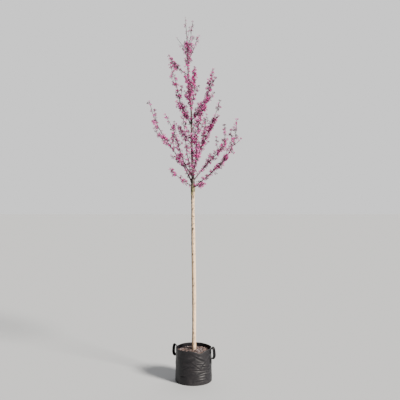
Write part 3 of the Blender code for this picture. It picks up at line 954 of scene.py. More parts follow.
def new_effect(name, inputs, outputs):
    """An empty node group with its own sockets."""
    group = bpy.data.node_groups.new(name, "ShaderNodeTree")
    for socket, value in inputs.items():
        kind = "NodeSocketVector" if value is None else "NodeSocketFloat"
        made = group.interface.new_socket(name=socket, in_out="INPUT", socket_type=kind)
        if value is not None:
            made.default_value = value
    for socket in outputs:
        group.interface.new_socket(name=socket, in_out="OUTPUT", socket_type="NodeSocketFloat")
    entry, leave = group.nodes.new("NodeGroupInput"), group.nodes.new("NodeGroupOutput")
    return group, entry.outputs, leave.inputs


def flattened(tree, vector, factor):
    """Multiply a vector's height, which draws a pattern out along it or squeezes it across."""
    parts = add(tree, "SeparateXYZ", {0: vector}).outputs
    height = times(tree, parts[2], factor)
    return add(tree, "CombineXYZ", {0: parts[0], 1: parts[1], 2: height}).outputs[0]


def effect(tree, group, **inputs):
    """Place a shared effect with its own values and hand back its outputs."""
    node = tree.nodes.new("ShaderNodeGroup")
    node.node_tree = group
    return feed(tree, node, inputs).outputs


streaks, given, out = new_effect(
    "streaks", {"Vector": None, "Scale": 90.0, "Length": 0.15}, ["Mask"])
drawn = flattened(streaks, given["Vector"], given["Length"])
rough = noise_of(streaks, drawn, given["Scale"], 4.0)
streaks.links.new(ranged(streaks, rough, 0.32, 0.68), out["Mask"])

pores, given, out = new_effect(
    "pores", {"Vector": None, "Scale": 150.0, "Squeeze": 2.6, "Size": 0.32, "Share": 0.45},
    ["Mask"])
squeezed = flattened(pores, given["Vector"], given["Squeeze"])
cells = add(pores, "TexVoronoi", {"Vector": squeezed, "Scale": given["Scale"]})
inside = ranged(pores, cells.outputs["Distance"], given["Size"], 0.0)
lucky = add(pores, "SeparateColor", {0: cells.outputs["Color"]}).outputs[0]
kept = maths(pores, "LESS_THAN", lucky, given["Share"])
pores.links.new(times(pores, inside, kept), out["Mask"])

dirt, given, out = new_effect("dirt", {"Vector": None, "Scale": 14.0, "Cover": 0.4}, ["Mask"])
patches = noise_of(dirt, given["Vector"], given["Scale"], 5.0, 0.65)
raised = plus(dirt, patches, times(dirt, given["Cover"], 0.3))
dirt.links.new(ranged(dirt, raised, 0.60, 0.77), out["Mask"])


print([group.name for group in bpy.data.node_groups])

# %% [markdown]
# ## The trunk
#
# The clear stem is smooth and pale, with dark pores that lie across it and flecks on the side turned
# away from the sun, more of both towards the graft. Kept to that side, the flecks are partly painted
# shade. Old side shoots were cut off and left small collars. At the graft the stem swells, turns
# rough and carries moss, and above it the other tree's bark starts, a dark grey brown. Pores and
# scars are both modelled and coloured, so they are worked out once, as an array over rings and
# sides, and used for the relief and for the marks that the material reads.

# %% Relief of the trunk
TRUNK_SIDES = 36
FREE_PORES = 430                # on the lower clear stem
CROWDED_PORES = 420             # under the graft
CROWDED_FROM = 1.42             # height
LEADER_PORES = 360
LEADER_PORES_TO = 3.0           # height
PORE_RELIEF = 0.00035

turns = np.arange(TRUNK_SIDES) / TRUNK_SIDES * math.tau
ring_heights = np.array(heights)
ring_radii = np.array(trunk_line.radii)
trunk_relief = np.zeros((len(heights), TRUNK_SIDES))
pore_marks = np.zeros_like(trunk_relief)
scar_marks = np.zeros_like(trunk_relief)


def dab(height, turn, tall, wide):
    """The rings near a mark, and how strongly each of their vertices feels it."""
    rows = np.flatnonzero(np.abs(ring_heights - height) < 3 * tall)
    up = (ring_heights[rows, None] - height) / tall
    off = (turns - turn + math.pi) % math.tau - math.pi
    across = off[None, :] * ring_radii[rows, None] / wide
    return rows, np.exp(-across ** 2 - up ** 2)


def add_pores(count, low, high, tall, wide, rng):
    """Pores strewn between two heights, each a dab of about this height and width."""
    for _ in range(count):
        size = rng.uniform(0.6, 1.3)
        rows, weight = dab(rng.uniform(low, high), rng.uniform(0, math.tau), tall, wide * size)
        trunk_relief[rows] += PORE_RELIEF * size * weight
        pore_marks[rows] = np.maximum(pore_marks[rows], weight)


bark_rng = random.Random(SEED + 2)
add_pores(FREE_PORES, 0.31, CROWDED_FROM, 0.0015, 0.0026, bark_rng)
add_pores(CROWDED_PORES, CROWDED_FROM, GRAFT_HEIGHT, 0.0017, 0.0034, bark_rng)
add_pores(LEADER_PORES, GRAFT_HEIGHT + ABOVE_GRAFT, LEADER_PORES_TO, 0.0022, 0.0018, bark_rng)
print("pores mark", round(100 * float((pore_marks > 0.5).mean()), 1), "% of the trunk")

# %% Scars, graft and root flare
SCAR_HEIGHTS = (0.47, 0.71, 0.96, 1.18, 1.37, 1.51, 1.64)
SCAR_COLLAR = 0.0022
SCAR_DIMPLE = 0.0030
GRAFT_ROUGH = 0.0011
GRAFT_BAND = 0.026
FLARE_LOBES = 4
FLARE_HEIGHT = 0.012
FLARE_DEPTH = 0.0022
COLLAR_SIZE, DIMPLE_SIZE = (0.012, 0.009), (0.0045, 0.0040)  # tall and wide
BARK_UNEVEN, BARK_GRAIN = 0.030, 0.010  # of the radius
FLECKS_FROM, FLECKS_OVER = 0.7, 0.9     # height, and the length over which they come in
# the side turned away from the sun: its flecks and darker bark are partly painted shade, and the moss
# on the graft lies there too
SHADE_AND_MOSS_SIDE = math.radians(206)    # the flecked side, and the moss on the graft
MOSS_MIDDLE, MOSS_TALL = 1.796, 0.046
LICHEN_PATCHES = ((1.774, 264, 0.011, 0.010),   # height, degrees, tall, wide
                  (1.795, 292, 0.008, 0.006),
                  (1.742, 250, 0.012, 0.007))


def held(value, low=0.0, high=1.0):
    """A value kept between two ends."""
    return min(high, max(low, value))


for height in SCAR_HEIGHTS:
    turn = bark_rng.uniform(0, math.tau)
    rows, collar = dab(height, turn, *COLLAR_SIZE)
    trunk_relief[rows] += SCAR_COLLAR * collar
    rows, dimple = dab(height, turn, *DIMPLE_SIZE)
    trunk_relief[rows] -= SCAR_DIMPLE * dimple
    scar_marks[rows] = np.maximum(scar_marks[rows], dimple)

band = np.exp(-((ring_heights - GRAFT_HEIGHT) / GRAFT_BAND) ** 2)
rise_of_foot = (ring_heights - SOIL_CROWN) / FLARE_HEIGHT
lobes = 0.5 + 0.5 * np.cos(FLARE_LOBES * turns + 0.6)
trunk_relief += FLARE_DEPTH * np.exp(-np.maximum(rise_of_foot, 0))[:, None] * (lobes - 0.5)
moss_and_shade_fleck_marks = np.zeros_like(trunk_relief)
for ring, (point, radius) in enumerate(zip(trunk_line.points, trunk_line.radii)):
    mossy = math.exp(-((point.z - MOSS_MIDDLE) / MOSS_TALL) ** 2)
    flecked = 0.4
    if point.z < GRAFT_HEIGHT:
        flecked = 0.35 + 0.65 * held((point.z - FLECKS_FROM) / FLECKS_OVER)
    for side, turn in enumerate(turns):
        spot = point + Vector((math.cos(turn), math.sin(turn), 0)) * radius
        uneven = noise.noise(spot * 22) * BARK_UNEVEN * radius
        drawn_out = Vector((spot.x * 260, spot.y * 260, spot.z * 40))
        grain = noise.noise(drawn_out) * BARK_GRAIN * radius
        knobbly = noise.fractal(spot * 75, 0.8, 2.1, 4)
        trunk_relief[ring, side] += uneven + grain + band[ring] * GRAFT_ROUGH * knobbly
        rough_graft = band[ring] * held(0.55 + 0.9 * knobbly)
        scar_marks[ring, side] = max(scar_marks[ring, side], rough_graft)
        # how far a point faces the side away from the sun; the flecks kept to it are partly painted
        # shade
        weathering_and_shade = 0.5 + 0.5 * math.cos(turn - SHADE_AND_MOSS_SIDE)
        fleck = noise.noise(Vector((spot.x * 95, spot.y * 95, spot.z * 48)))
        patch = noise.fractal(spot * 34, 0.9, 2.0, 3)
        flecks = max(0.0, 7.0 * flecked * (weathering_and_shade - 0.15) * (fleck - 0.06))
        moss = max(0.0, 4.0 * mossy * (weathering_and_shade + 0.5 * patch - 0.70))
        moss_and_shade_fleck_marks[ring, side] = min(1.0, flecks + moss)
lichen_marks = np.zeros_like(trunk_relief)
for height, degrees, tall, wide in LICHEN_PATCHES:
    rows, weight = dab(height, math.radians(degrees), tall, wide)
    lichen_marks[rows] = np.maximum(lichen_marks[rows], weight)
print("relief from", round(trunk_relief.min() * 1000, 1),
      "to", round(trunk_relief.max() * 1000, 1), "mm")

# %% [markdown]
# The trunk's finish changes by height, from pale stem to dark leader, over the few centimetres of
# the graft. Soil has splashed the foot, and the side turned away from the sun is painted darker in
# mottled brown, as painted shade. All of that is laid over the streaked bark in turn, as a painter
# would glaze it.

# %% Finish of the trunk's bark
PALE_LIGHT, PALE_DARK = (0.96, 0.67, 0.41), (0.58, 0.40, 0.24)
LEADER_LIGHT, LEADER_DARK = (0.060, 0.041, 0.039), (0.020, 0.013, 0.014)
LEADER_PALE = (0.42, 0.36, 0.31)
# painted shade: the brown laid on the side turned away from the sun
SHADED_SIDE_BROWN = (0.17, 0.13, 0.095)
LICHEN = (0.46, 0.46, 0.17)
PORE_DARK, PORE_PALE = (0.085, 0.055, 0.040), (0.33, 0.25, 0.21)
GREENISH, UNDER_GRAFT = (0.36, 0.34, 0.24), (0.092, 0.076, 0.040)
ROUGH_GRAFT = (0.10, 0.080, 0.055)
MOSS, FLECK = (0.022, 0.026, 0.012), (0.060, 0.044, 0.034)
SPLASHED = (0.16, 0.11, 0.08)
STEM_RADIUS = 0.020
DARKER_UNDER_GRAFT_RISE = 1.742, 1.768       # heights between which each of these comes in
MOSS_RISE = 1.60, 1.70
GRAFT_RISE = 1.812, 1.840
PATCH_RISE = 1.86, 1.94
PATCH_FALL = 2.60, 2.15         # and goes again, read from above
SPLASH_FALL = 0.33, 0.285

trunk_bark, tree, shader = new_finish("trunk_bark")
straight = attribute(tree, "straight", "Vector")
place = place_of(tree)
level = height_of(tree, place)
streak = effect(tree, streaks, Vector=straight, Scale=110.0, Length=0.10)["Mask"]
clouds = noise_of(tree, place, 9.0, 4.0)
pale = mixed(tree, times(tree, streak, 0.8), PALE_LIGHT, PALE_DARK)
weathering_and_shade = times(tree, ranged(tree, clouds, 0.52, 0.72), 0.35)
pale = mixed(tree, weathering_and_shade, pale, GREENISH)
# Painted shade: the side turned away from the sun is darkened with brown, in mottled patches.
to_shaded_side = (math.cos(SHADE_AND_MOSS_SIDE) / STEM_RADIUS, math.sin(SHADE_AND_MOSS_SIDE) / STEM_RADIUS, 0.0)
facing = side_facing(tree, straight, to_shaded_side)
mottle = noise_of(tree, straight, 210.0, 4.0, 0.7)
painted_shade = times(tree, ranged(tree, facing, 0.15, 0.95), ranged(tree, mottle, 0.30, 0.60, 0.25, 0.95))
pale = mixed(tree, painted_shade, pale, SHADED_SIDE_BROWN)
# darker and mottled just under the graft
darker_under_graft = times(tree, ranged(tree, level, *DARKER_UNDER_GRAFT_RISE),
              ranged(tree, mottle, 0.38, 0.56, 0.40, 1.0))
pale = mixed(tree, darker_under_graft, pale, UNDER_GRAFT)
dark = mixed(tree, streak, LEADER_LIGHT, LEADER_DARK)
patchy = ranged(tree, noise_of(tree, straight, 95.0, 3.0, 0.6), 0.54, 0.60)
patchy = times(tree, patchy, ranged(tree, level, *PATCH_RISE))
patchy = times(tree, patchy, ranged(tree, level, *PATCH_FALL, 0.15, 0.9))
dark = mixed(tree, patchy, dark, LEADER_PALE)
wavering = plus(tree, level, times(tree, maths(tree, "SUBTRACT", clouds, 0.5), 0.06))
above_graft = ranged(tree, wavering, *GRAFT_RISE)
bark = mixed(tree, above_graft, pale, dark)
under_graft = ranged(tree, level, CROWDED_FROM, 1.72, 0.45, 1.0)
pore = times(tree, attribute(tree, "pore"), under_graft)
bark = mixed(tree, pore, bark, mixed(tree, above_graft, PORE_DARK, PORE_PALE))
bark = mixed(tree, times(tree, attribute(tree, "scar"), 0.85), bark, ROUGH_GRAFT)
near_graft = ranged(tree, level, *MOSS_RISE)
# marks of flecks, which are partly painted shade, and of moss
fleck_and_moss_colour = mixed(tree, near_graft, FLECK, MOSS)
bark = mixed(tree, times(tree, attribute(tree, "lichen"), 0.85), bark, LICHEN)
bark = mixed(tree, times(tree, attribute(tree, "moss"), 0.95), bark, fleck_and_moss_colour)
splash = effect(tree, dirt, Vector=place, Scale=60.0, Cover=0.55)["Mask"]
low_down = times(tree, ranged(tree, level, *SPLASH_FALL), plus(tree, splash, 0.20))
bark = mixed(tree, low_down, bark, SPLASHED)
feed(tree, shader, {"Base Color": bark,
                    "Roughness": ranged(tree, clouds, 0.3, 0.7, 0.62, 0.82)})
fine = noise_of(tree, straight, 900.0, 4.0, 0.6)
relief_on(tree, shader, plus(tree, times(tree, streak, 0.6), fine), 0.0006, 0.7)
trunk_marks = {"pore": pore_marks, "scar": scar_marks, "moss": moss_and_shade_fleck_marks,
               "lichen": lichen_marks}
trunk_tube = rolled(trunk_line.points, trunk_line.radii, TRUNK_SIDES, trunk_relief, trunk_marks)
keep("trunk_and_leader", trunk_tube, trunk_bark, ["trunk"])

# %% [markdown]
# ## Boughs, twigs and spurs
#
# The limbs of such a tree are dark and satin, with buds close to the bark that leave a small
# thickening at each bend, and pale pores. A bough and the stem of its mass are one limb in life,
# so one tube runs from inside the trunk to the tip, and no seam shows where the solids change over.

# %% Relief of limbs and twigs
LIMB_SIDES, TWIG_SIDES, SPUR_SIDES = 12, 8, 6
BUD_SWELL = 0.20                # of the radius, at each bud
BUD_SHAPE = (1.5, 1.35, 0.35)   # the end bud's rings, of the tip's radius


def swollen(line, bud_gap, sides, rng):
    """Relief of a shoot: a swelling on one side at each bud, and uneven bark between."""
    length = lengths_along(line.points)
    around = np.arange(sides) / sides * math.tau
    radii = np.array(line.radii)[:, None]
    relief = np.zeros((len(line.points), sides))
    turn = rng.uniform(0, math.tau)
    for distance in np.arange(bud_gap, length[-1], bud_gap):
        near = np.exp(-((length - distance) / (0.12 * bud_gap)) ** 2)[:, None]
        relief += BUD_SWELL * radii * near * (1.3 + np.cos(around - turn)[None, :])
        turn += GOLDEN_TURN
    for ring, point in enumerate(line.points):
        for side, angle in enumerate(around):
            spot = point + Vector((math.cos(angle), math.sin(angle), 0)) * 0.02
            relief[ring, side] += 0.09 * line.radii[ring] * noise.noise(spot * 140)
    return relief


def budded(line):
    """The same line with an end bud on its tip."""
    tip = line.radii[-1]
    return line._replace(radii=[*line.radii[:-3], *[tip * share for share in BUD_SHAPE]])


def bark_tubes(lines, sides, bud_gap, rng):
    """A tube with its relief and its end bud along each line."""
    return [rolled(line.points, line.radii, sides, swollen(line, bud_gap, sides, rng))
            for line in map(budded, lines)]


sample = swollen(limb_lines["tall_right"], LIMB_BUD_GAP, LIMB_SIDES, random.Random(SEED))
print("relief on a limb up to", round(sample.max() * 1000, 2), "mm")

# %% Finish of limbs and twigs
BOUGH_LIGHT, BOUGH_DARK = (0.052, 0.023, 0.026), (0.014, 0.006, 0.009)
TWIG_LIGHT, TWIG_DARK = (0.065, 0.015, 0.028), (0.020, 0.005, 0.011)


def shoot_bark(name, light, dark, pore_scale, roughness):
    """Streaked satin bark with pale pores across it."""
    material, tree, shader = new_finish(name, roughness)
    straight = attribute(tree, "straight", "Vector")
    streak = effect(tree, streaks, Vector=straight, Scale=320.0, Length=0.12)["Mask"]
    bark = mixed(tree, streak, light, dark)
    pore = effect(tree, pores, Vector=straight, Scale=pore_scale,
                  Squeeze=1.6, Size=0.30, Share=0.35)["Mask"]
    bark = mixed(tree, times(tree, pore, 0.75), bark, PORE_PALE)
    worn = noise_of(tree, straight, 60.0)
    satin = ranged(tree, worn, 0.3, 0.7, roughness - 0.12, roughness + 0.1)
    feed(tree, shader, {"Base Color": bark, "Roughness": satin})
    relief_on(tree, shader, plus(tree, streak, pore), 0.0003, 0.6)
    return material


bough_bark = shoot_bark("bough_bark", BOUGH_LIGHT, BOUGH_DARK, 210.0, 0.55)
twig_bark = shoot_bark("twig_bark", TWIG_LIGHT, TWIG_DARK, 420.0, 0.50)
limb_tubes = bark_tubes(limb_lines.values(), LIMB_SIDES, LIMB_BUD_GAP, detail_rng)
keep("limbs", joined(limb_tubes), bough_bark, boughs)
twig_tubes = bark_tubes([*fork_lines, *twig_lines], TWIG_SIDES, TWIG_BUD_GAP, detail_rng)
twig_tubes += bark_tubes(spur_lines, SPUR_SIDES, TWIG_BUD_GAP, detail_rng)
keep("twigs_and_spurs", joined(twig_tubes), twig_bark, masses)

# %% [markdown]
# ## Blossom
#
# The flowers are small pea flowers on short stalks, in bunches that break straight out of the bark:
# an upright banner petal, two wings, a keel below, and a dark cup that holds them. Some are still
# buds. Each petal is a ball of a few faces, squeezed flat and cupped, because a flower that is
# repeated thousands of times can only have a few dozen faces, and at this size a petal reads by
# its outline and its tilt.

# %% One flower, one bud and one stalk
STALK_LENGTH = 0.0085
STALK_RADIUS = 0.00055
CUP_LENGTH, CUP_WIDTH = 0.0042, 0.0036
HEAD_FOOT = STALK_LENGTH + 0.0022
PETAL_THICKNESS = 0.0007
BUD_LENGTH, BUD_WIDTH = 0.0075, 0.0042

Petal = namedtuple("Petal", "around up length width cup tilt turn")
PETALS = [                      # faces round and up, then metres and degrees
    Petal(5, 3, 0.0098, 0.0092, 0.0022, 30, 0),     # banner
    Petal(4, 2, 0.0085, 0.0058, 0.0015, 26, 115),   # wings
    Petal(4, 2, 0.0085, 0.0058, 0.0015, 26, 245),
    Petal(4, 2, 0.0098, 0.0064, 0.0024, 16, 180),   # keel
]


def add_ball(bm, around, up, place):
    """A ball of so many faces round and up, and hand back its corners."""
    made = bmesh.ops.create_uvsphere(bm, u_segments=around, v_segments=up, radius=1.0,
                                     matrix=place)
    return made["verts"]


def stretched(width, length, height):
    """A ball's place at a height, pulled out to a width and a length."""
    return (Matrix.Translation((0, 0, height))
            @ Matrix.Diagonal((width / 2, width / 2, length / 2, 1)))


def add_petal(bm, petal):
    """A ball squeezed into a petal that stands on the cup and tilts out of the flower's axis."""
    corners = add_ball(bm, petal.around, petal.up, Matrix.Identity(4))
    for vert in corners:
        side, depth, rise = vert.co
        broad = 0.75 + 0.35 * rise
        vert.co = (side * broad * petal.width / 2,
                   depth * PETAL_THICKNESS / 2 + petal.cup * side ** 2,
                   (rise + 1) * petal.length / 2)
    stand = (Matrix.Translation((0, 0, HEAD_FOOT))
             @ Matrix.Rotation(math.radians(petal.turn), 4, "Z")
             @ Matrix.Rotation(math.radians(petal.tilt), 4, "X"))
    bmesh.ops.transform(bm, matrix=stand, verts=corners)


def as_mesh(name, bm):
    """Turn a bmesh into a mesh whose faces all look outwards."""
    bmesh.ops.recalc_face_normals(bm, faces=bm.faces)
    return mesh_of(name, bm)


bm = bmesh.new()
for petal in PETALS:
    add_petal(bm, petal)
petals = as_mesh("petals", bm)

bm = bmesh.new()
add_ball(bm, 5, 3, stretched(BUD_WIDTH, BUD_LENGTH, HEAD_FOOT + BUD_LENGTH / 2 - 0.001))
closed_bud = as_mesh("closed_bud", bm)

bm = bmesh.new()
bmesh.ops.create_cone(bm, cap_ends=False, segments=3,
                      radius1=STALK_RADIUS * 1.3, radius2=STALK_RADIUS, depth=STALK_LENGTH,
                      matrix=Matrix.Translation((0, 0, STALK_LENGTH / 2)))
add_ball(bm, 4, 2, stretched(CUP_WIDTH, CUP_LENGTH, STALK_LENGTH + CUP_LENGTH * 0.3))
stalk_and_cup = as_mesh("stalk_and_cup", bm)
print({mesh.name: len(mesh.polygons) for mesh in (petals, closed_bud, stalk_and_cup)})

# %% [markdown]
# Bunches of flowers sit where the solids have their clusters, and between them at every bud. All
# follow the golden angle round their shoot. The limbs flower right down to their feet, and so does
# the leader, which is how this kind of tree blossoms on old wood. The last shoots at the top are
# nearly bare, and a few stretches lower down are as thick as a garland.

# %% Where the bunches sit
BUNCH_SPACING = 0.021
BUNCH_LEAN = math.radians(56)
CLUMPS_PER_METRE = 27           # bunches come in clumps, with bare bark between
CLUMP_LEVEL = -0.10             # of a noise from -1 to 1, below which bark is bare
THIN_FROM = 0.80                # share of a limb beyond which bunches thin out

Row = namedtuple("Row", "start end spacing flowers size")   # from and to as shares of the line
LIMB_ROWS = [Row(0.055, THIN_FROM, 0.85 * BUNCH_SPACING, (5, 8), 1.26),
             Row(THIN_FROM, 0.97, 1.4 * BUNCH_SPACING, (2, 4), 1.04)]
TWIG_ROW = Row(0.1, 0.97, BUNCH_SPACING, (4, 6), 1.16)
SPUR_MIDDLE_ROW = Row(0.4, 0.8, 0.02, (3, 4), 1.10)
SPUR_END_ROW = Row(0.92, 1.0, 0.001, (4, 6), 1.22)
GARLAND_SPREAD = 1.25           # its bunches against its spurs
LEADER_ROWS = [                 # from and to as heights
    Row(1.86, 2.34, 0.034, (2, 5), 0.95),
    Row(2.34, 2.93, 0.0300, (2, 5), 0.95),
    Row(2.93, 3.16, 0.0085, (5, 7), 1.10),
    Row(3.16, 3.37, 0.030, (1, 2), 0.80),
]
LONG_SPUR = 0.018               # a spur longer than this has a bunch halfway too
CLUSTER_FLOWERS, CLUSTER_SIZE = (5, 8), 1.18
GARLAND_FLOWERS, GARLAND_SIZE = (4, 7), 1.28
NEARLY_BARE = {"leader_tip": 0.45, "leader_left_top": 0.20,
               "leader_right_high": 0.70, "leader_right_top": 0.70}
TIP_BARE_FROM = 3.17            # height

Bunch = namedtuple("Bunch", "mass frame flowers size")
bloom_rng = random.Random(SEED + 3)


def bunch_frame(frame, turn, lean, radius):
    """Where a bunch breaks out of the bark: turned round the shoot, then leaning out of it."""
    return (frame @ Matrix.Rotation(turn, 4, "Z") @ Matrix.Translation((radius * 0.5, 0, 0))
            @ Matrix.Rotation(lean, 4, "Y"))


def bunches_along(line, row, rng):
    """Bunches in turn along a line."""
    frames = path_frames(line.points)
    length = along(line, 0)[1]
    distance = row.start * length + row.spacing * rng.uniform(0.2, 0.9)
    turn = rng.uniform(0, math.tau)
    found = []
    while distance < row.end * length:
        ring, _ = along(line, distance)
        frame = bunch_frame(frames[ring], turn, BUNCH_LEAN * varied(rng, 0.25), line.radii[ring])
        bunch = Bunch(line.mass, frame, round(rng.uniform(*row.flowers)), row.size * varied(rng))
        if noise.noise(line.points[ring] * CLUMPS_PER_METRE) > CLUMP_LEVEL:
            found.append(bunch)
        turn += GOLDEN_TURN
        distance += row.spacing * varied(rng, STEP_SPREAD)
    return found


def bunch_from_cluster(name, place, points, rng):
    """A full bunch where the solid has a cluster, moved onto the nearest bark."""
    root = place @ Vector((0, 0, -1))
    gaps = np.linalg.norm(points - np.array(root), axis=1)
    root = Vector(points[gaps.argmin()])
    frame = Matrix.LocRotScale(root, place.to_quaternion(), None)
    return Bunch(name, frame, round(rng.uniform(*CLUSTER_FLOWERS)), CLUSTER_SIZE * varied(rng))


bunches = []
for name, clusters in clusters_of.items():
    lines = [limb_lines.get(name, trunk_line)]
    lines += [line for line in fork_lines + twig_lines if line.mass == name]
    points = np.array([point for line in lines for point in line.points])
    bunches += [bunch_from_cluster(name, place, points, bloom_rng) for place in clusters]
print(len(bunches), "bunches stand for the solid clusters")
for line in limb_lines.values():
    for row in LIMB_ROWS:
        bunches += bunches_along(line, row, bloom_rng)
for part in GARLANDS:
    row = Row(part.start, part.end, GARLAND_SPREAD * part.spacing,
              GARLAND_FLOWERS, GARLAND_SIZE)
    bunches += bunches_along(limb_lines[part.limb], row, bloom_rng)
for line in fork_lines + twig_lines:
    bunches += bunches_along(line, TWIG_ROW, bloom_rng)
for line in spur_lines:
    if along(line, 0)[1] > LONG_SPUR:
        bunches += bunches_along(line, SPUR_MIDDLE_ROW, bloom_rng)
    bunches += bunches_along(line, SPUR_END_ROW, bloom_rng)[:1]
for row in LEADER_ROWS:
    row = row._replace(start=share_up(row.start), end=share_up(row.end))
    bunches += bunches_along(trunk_line, row, bloom_rng)
print(len(bunches), "bunches in all")


def thinned(bunch, rng):
    """The same bunch, or a poorer one or none where it sits on a nearly bare shoot."""
    share = NEARLY_BARE.get(bunch.mass, 1.0)
    if bunch.mass == "leader_tip" and bunch.frame.translation.z < TIP_BARE_FROM:
        share = 1.0
    if share == 1.0:
        return [bunch]
    poorer = bunch._replace(flowers=max(1, round(bunch.flowers * share)), size=bunch.size * 0.85)
    return [poorer] if rng.random() < 0.35 + 0.65 * share else []


bunches = [kept for bunch in bunches for kept in thinned(bunch, bloom_rng)]
print(len(bunches), "after thinning the top shoots")

# %% [markdown]
# A bunch is dealt out as flowers and buds in a loose cone. Every bunch has one tint of four, so the
# crown is mottled the way a real one is, where some flowers are fresh, some faded and some in the
# lee of the light. The tints are plain colours on pieces of their own, since a pattern laid over
# thousands of tiny petals would be lost.

# %% Deal out the flowers
TINTS = ("pale", "rose", "deep", "plum")
TINT_SHARES = (0.24, 0.33, 0.26, 0.17)
TINTS_PER_METRE = 52            # patches of one tint
TINT_STRAY = 0.40               # how far a bunch may stray from its patch
BUNCH_CONE = math.radians(48)
BUD_SHARE = 0.22                # of the flowers are still closed

flower_places = {tint: [] for tint in TINTS}
bud_places = []
stalk_places = []
levels = [noise.noise(bunch.frame.translation * TINTS_PER_METRE)
          + bloom_rng.uniform(-TINT_STRAY, TINT_STRAY) for bunch in bunches]
ranks = np.argsort(np.argsort(levels)) / len(bunches)
for bunch, rank in zip(bunches, ranks):
    tint = TINTS[int(np.searchsorted(np.cumsum(TINT_SHARES)[:-1], rank, "right"))]
    first = bloom_rng.uniform(0, math.tau)
    for number in range(bunch.flowers):
        spread = BUNCH_CONE * math.sqrt((number + 0.5) / bunch.flowers)
        place = (bunch.frame @ Matrix.Rotation(first + number * GOLDEN_TURN, 4, "Z")
                 @ Matrix.Rotation(spread * varied(bloom_rng, 0.3), 4, "Y")
                 @ Matrix.Rotation(bloom_rng.uniform(0, math.tau), 4, "Z")
                 @ Matrix.Scale(bunch.size * varied(bloom_rng), 4))
        stalk_places.append(place)
        if bloom_rng.random() < BUD_SHARE:
            bud_places.append(place)
        else:
            flower_places[tint].append(place)
print({tint: len(places) for tint, places in flower_places.items()}, len(bud_places), "buds")

# %% Finish of petals, buds and stalks
# the darker tints partly stand for flowers in shade, as painted shade
TINT_COLOURS = {"pale": (0.93, 0.210, 0.60), "rose": (0.62, 0.017, 0.305),
                "deep": (0.32, 0.007, 0.155), "plum": (0.095, 0.0035, 0.046)}
BUD_COLOUR = (0.30, 0.008, 0.150)
STALK_COLOUR = (0.095, 0.009, 0.045)
PETAL_SHEEN = 0.25


def petal_finish(name, colour, roughness=0.5):
    """A soft petal: its colour mottled and veined a little, with a velvet edge."""
    material, tree, shader = new_finish(name, roughness)
    place = place_of(tree)
    mottle = noise_of(tree, place, 520.0, 2.0)
    lighter = tuple(min(1.0, channel * 1.22 + 0.01) for channel in colour)
    petal = mixed(tree, ranged(tree, mottle, 0.35, 0.65), shaded(colour, 0.72), lighter)
    feed(tree, shader, {"Base Color": petal, "Sheen Weight": PETAL_SHEEN})
    relief_on(tree, shader, noise_of(tree, place, 1800.0, 2.0), 0.0002, 0.4)
    return material


def scattered(name, template, places, material, nodes):
    """A copy of a small mesh at every place, joined in one piece."""
    corners = np.empty(len(template.vertices) * 3)
    template.vertices.foreach_get("co", corners)
    corners = np.c_[corners.reshape(-1, 3), np.ones(len(template.vertices))]
    placed = np.einsum("nij,vj->nvi", np.array(places), corners)[..., :3].reshape(-1, 3)
    faces = [tuple(face.vertices) for face in template.polygons]
    size = len(template.vertices)
    mesh = bpy.data.meshes.new(name)
    mesh.from_pydata(placed.tolist(), [], [tuple(corner + size * copy for corner in face)
                                           for copy in range(len(places)) for face in faces])
    return keep_mesh(name, mesh, material, nodes, sharp=50)


for tint in TINTS:
    finish = petal_finish(f"petals_{tint}", TINT_COLOURS[tint])
    scattered(f"blossom_{tint}", petals, flower_places[tint], finish, masses)
finish = petal_finish("closed_buds", BUD_COLOUR, 0.4)
scattered("flower_buds", closed_bud, bud_places, finish, masses)
finish = petal_finish("stalks_and_cups", STALK_COLOUR, 0.55)
scattered("flower_stalks", stalk_and_cup, stalk_places, finish, masses)

# %% [markdown]
# ## The bag
#
# The bag is woven black plastic, two millimetres thick with its lining, so it stands up but goes
# slack between the things that hold it. The soil pushes it out and settles, which leaves level
# creases low down, and the handles have pulled soft folds into its upper half. The rim dips at the
# front where somebody leaned on it.
#
# A cloth simulation could make such creases, but it would decide by itself where they fall. The
# places of these are known, so the cloth is one function instead: how far out the wall lies at a
# turn and a height. Everything sewn onto the bag is then laid on the same function and follows it.

# %% The cloth as a function
BAG_RADIUS = 0.165
BAG_HEIGHT = 0.309
BAG_FOOT_RADIUS = 0.161
BAG_FOOT_ROUND = 0.010
BAG_BULGE = 0.004
BAG_FLARE, BAG_FLARE_TOP = 0.006, 0.210     # the foot spreads under the load
RIM_BAND = 0.060                # depth of wall that follows the rim's sag
RIM_DIP, RIM_DIP_AT, RIM_DIP_WIDTH = 0.021, math.radians(-67), math.radians(14)
RIM_WAVE = 0.0035
CLOTH = 0.0022
STIFF_FOOT, STIFF_RIM = 0.030, 0.050    # near the foot and the rim the cloth folds less
BROAD_DENT, FINE_DENT = 0.0030, 0.0009
FOOT_CORNER, FOOT_CORNER_AT, FOOT_CORNER_HEIGHT = 0.002, math.radians(186), 0.022
FOOT_CORNER_WIDTH = 0.16        # radians

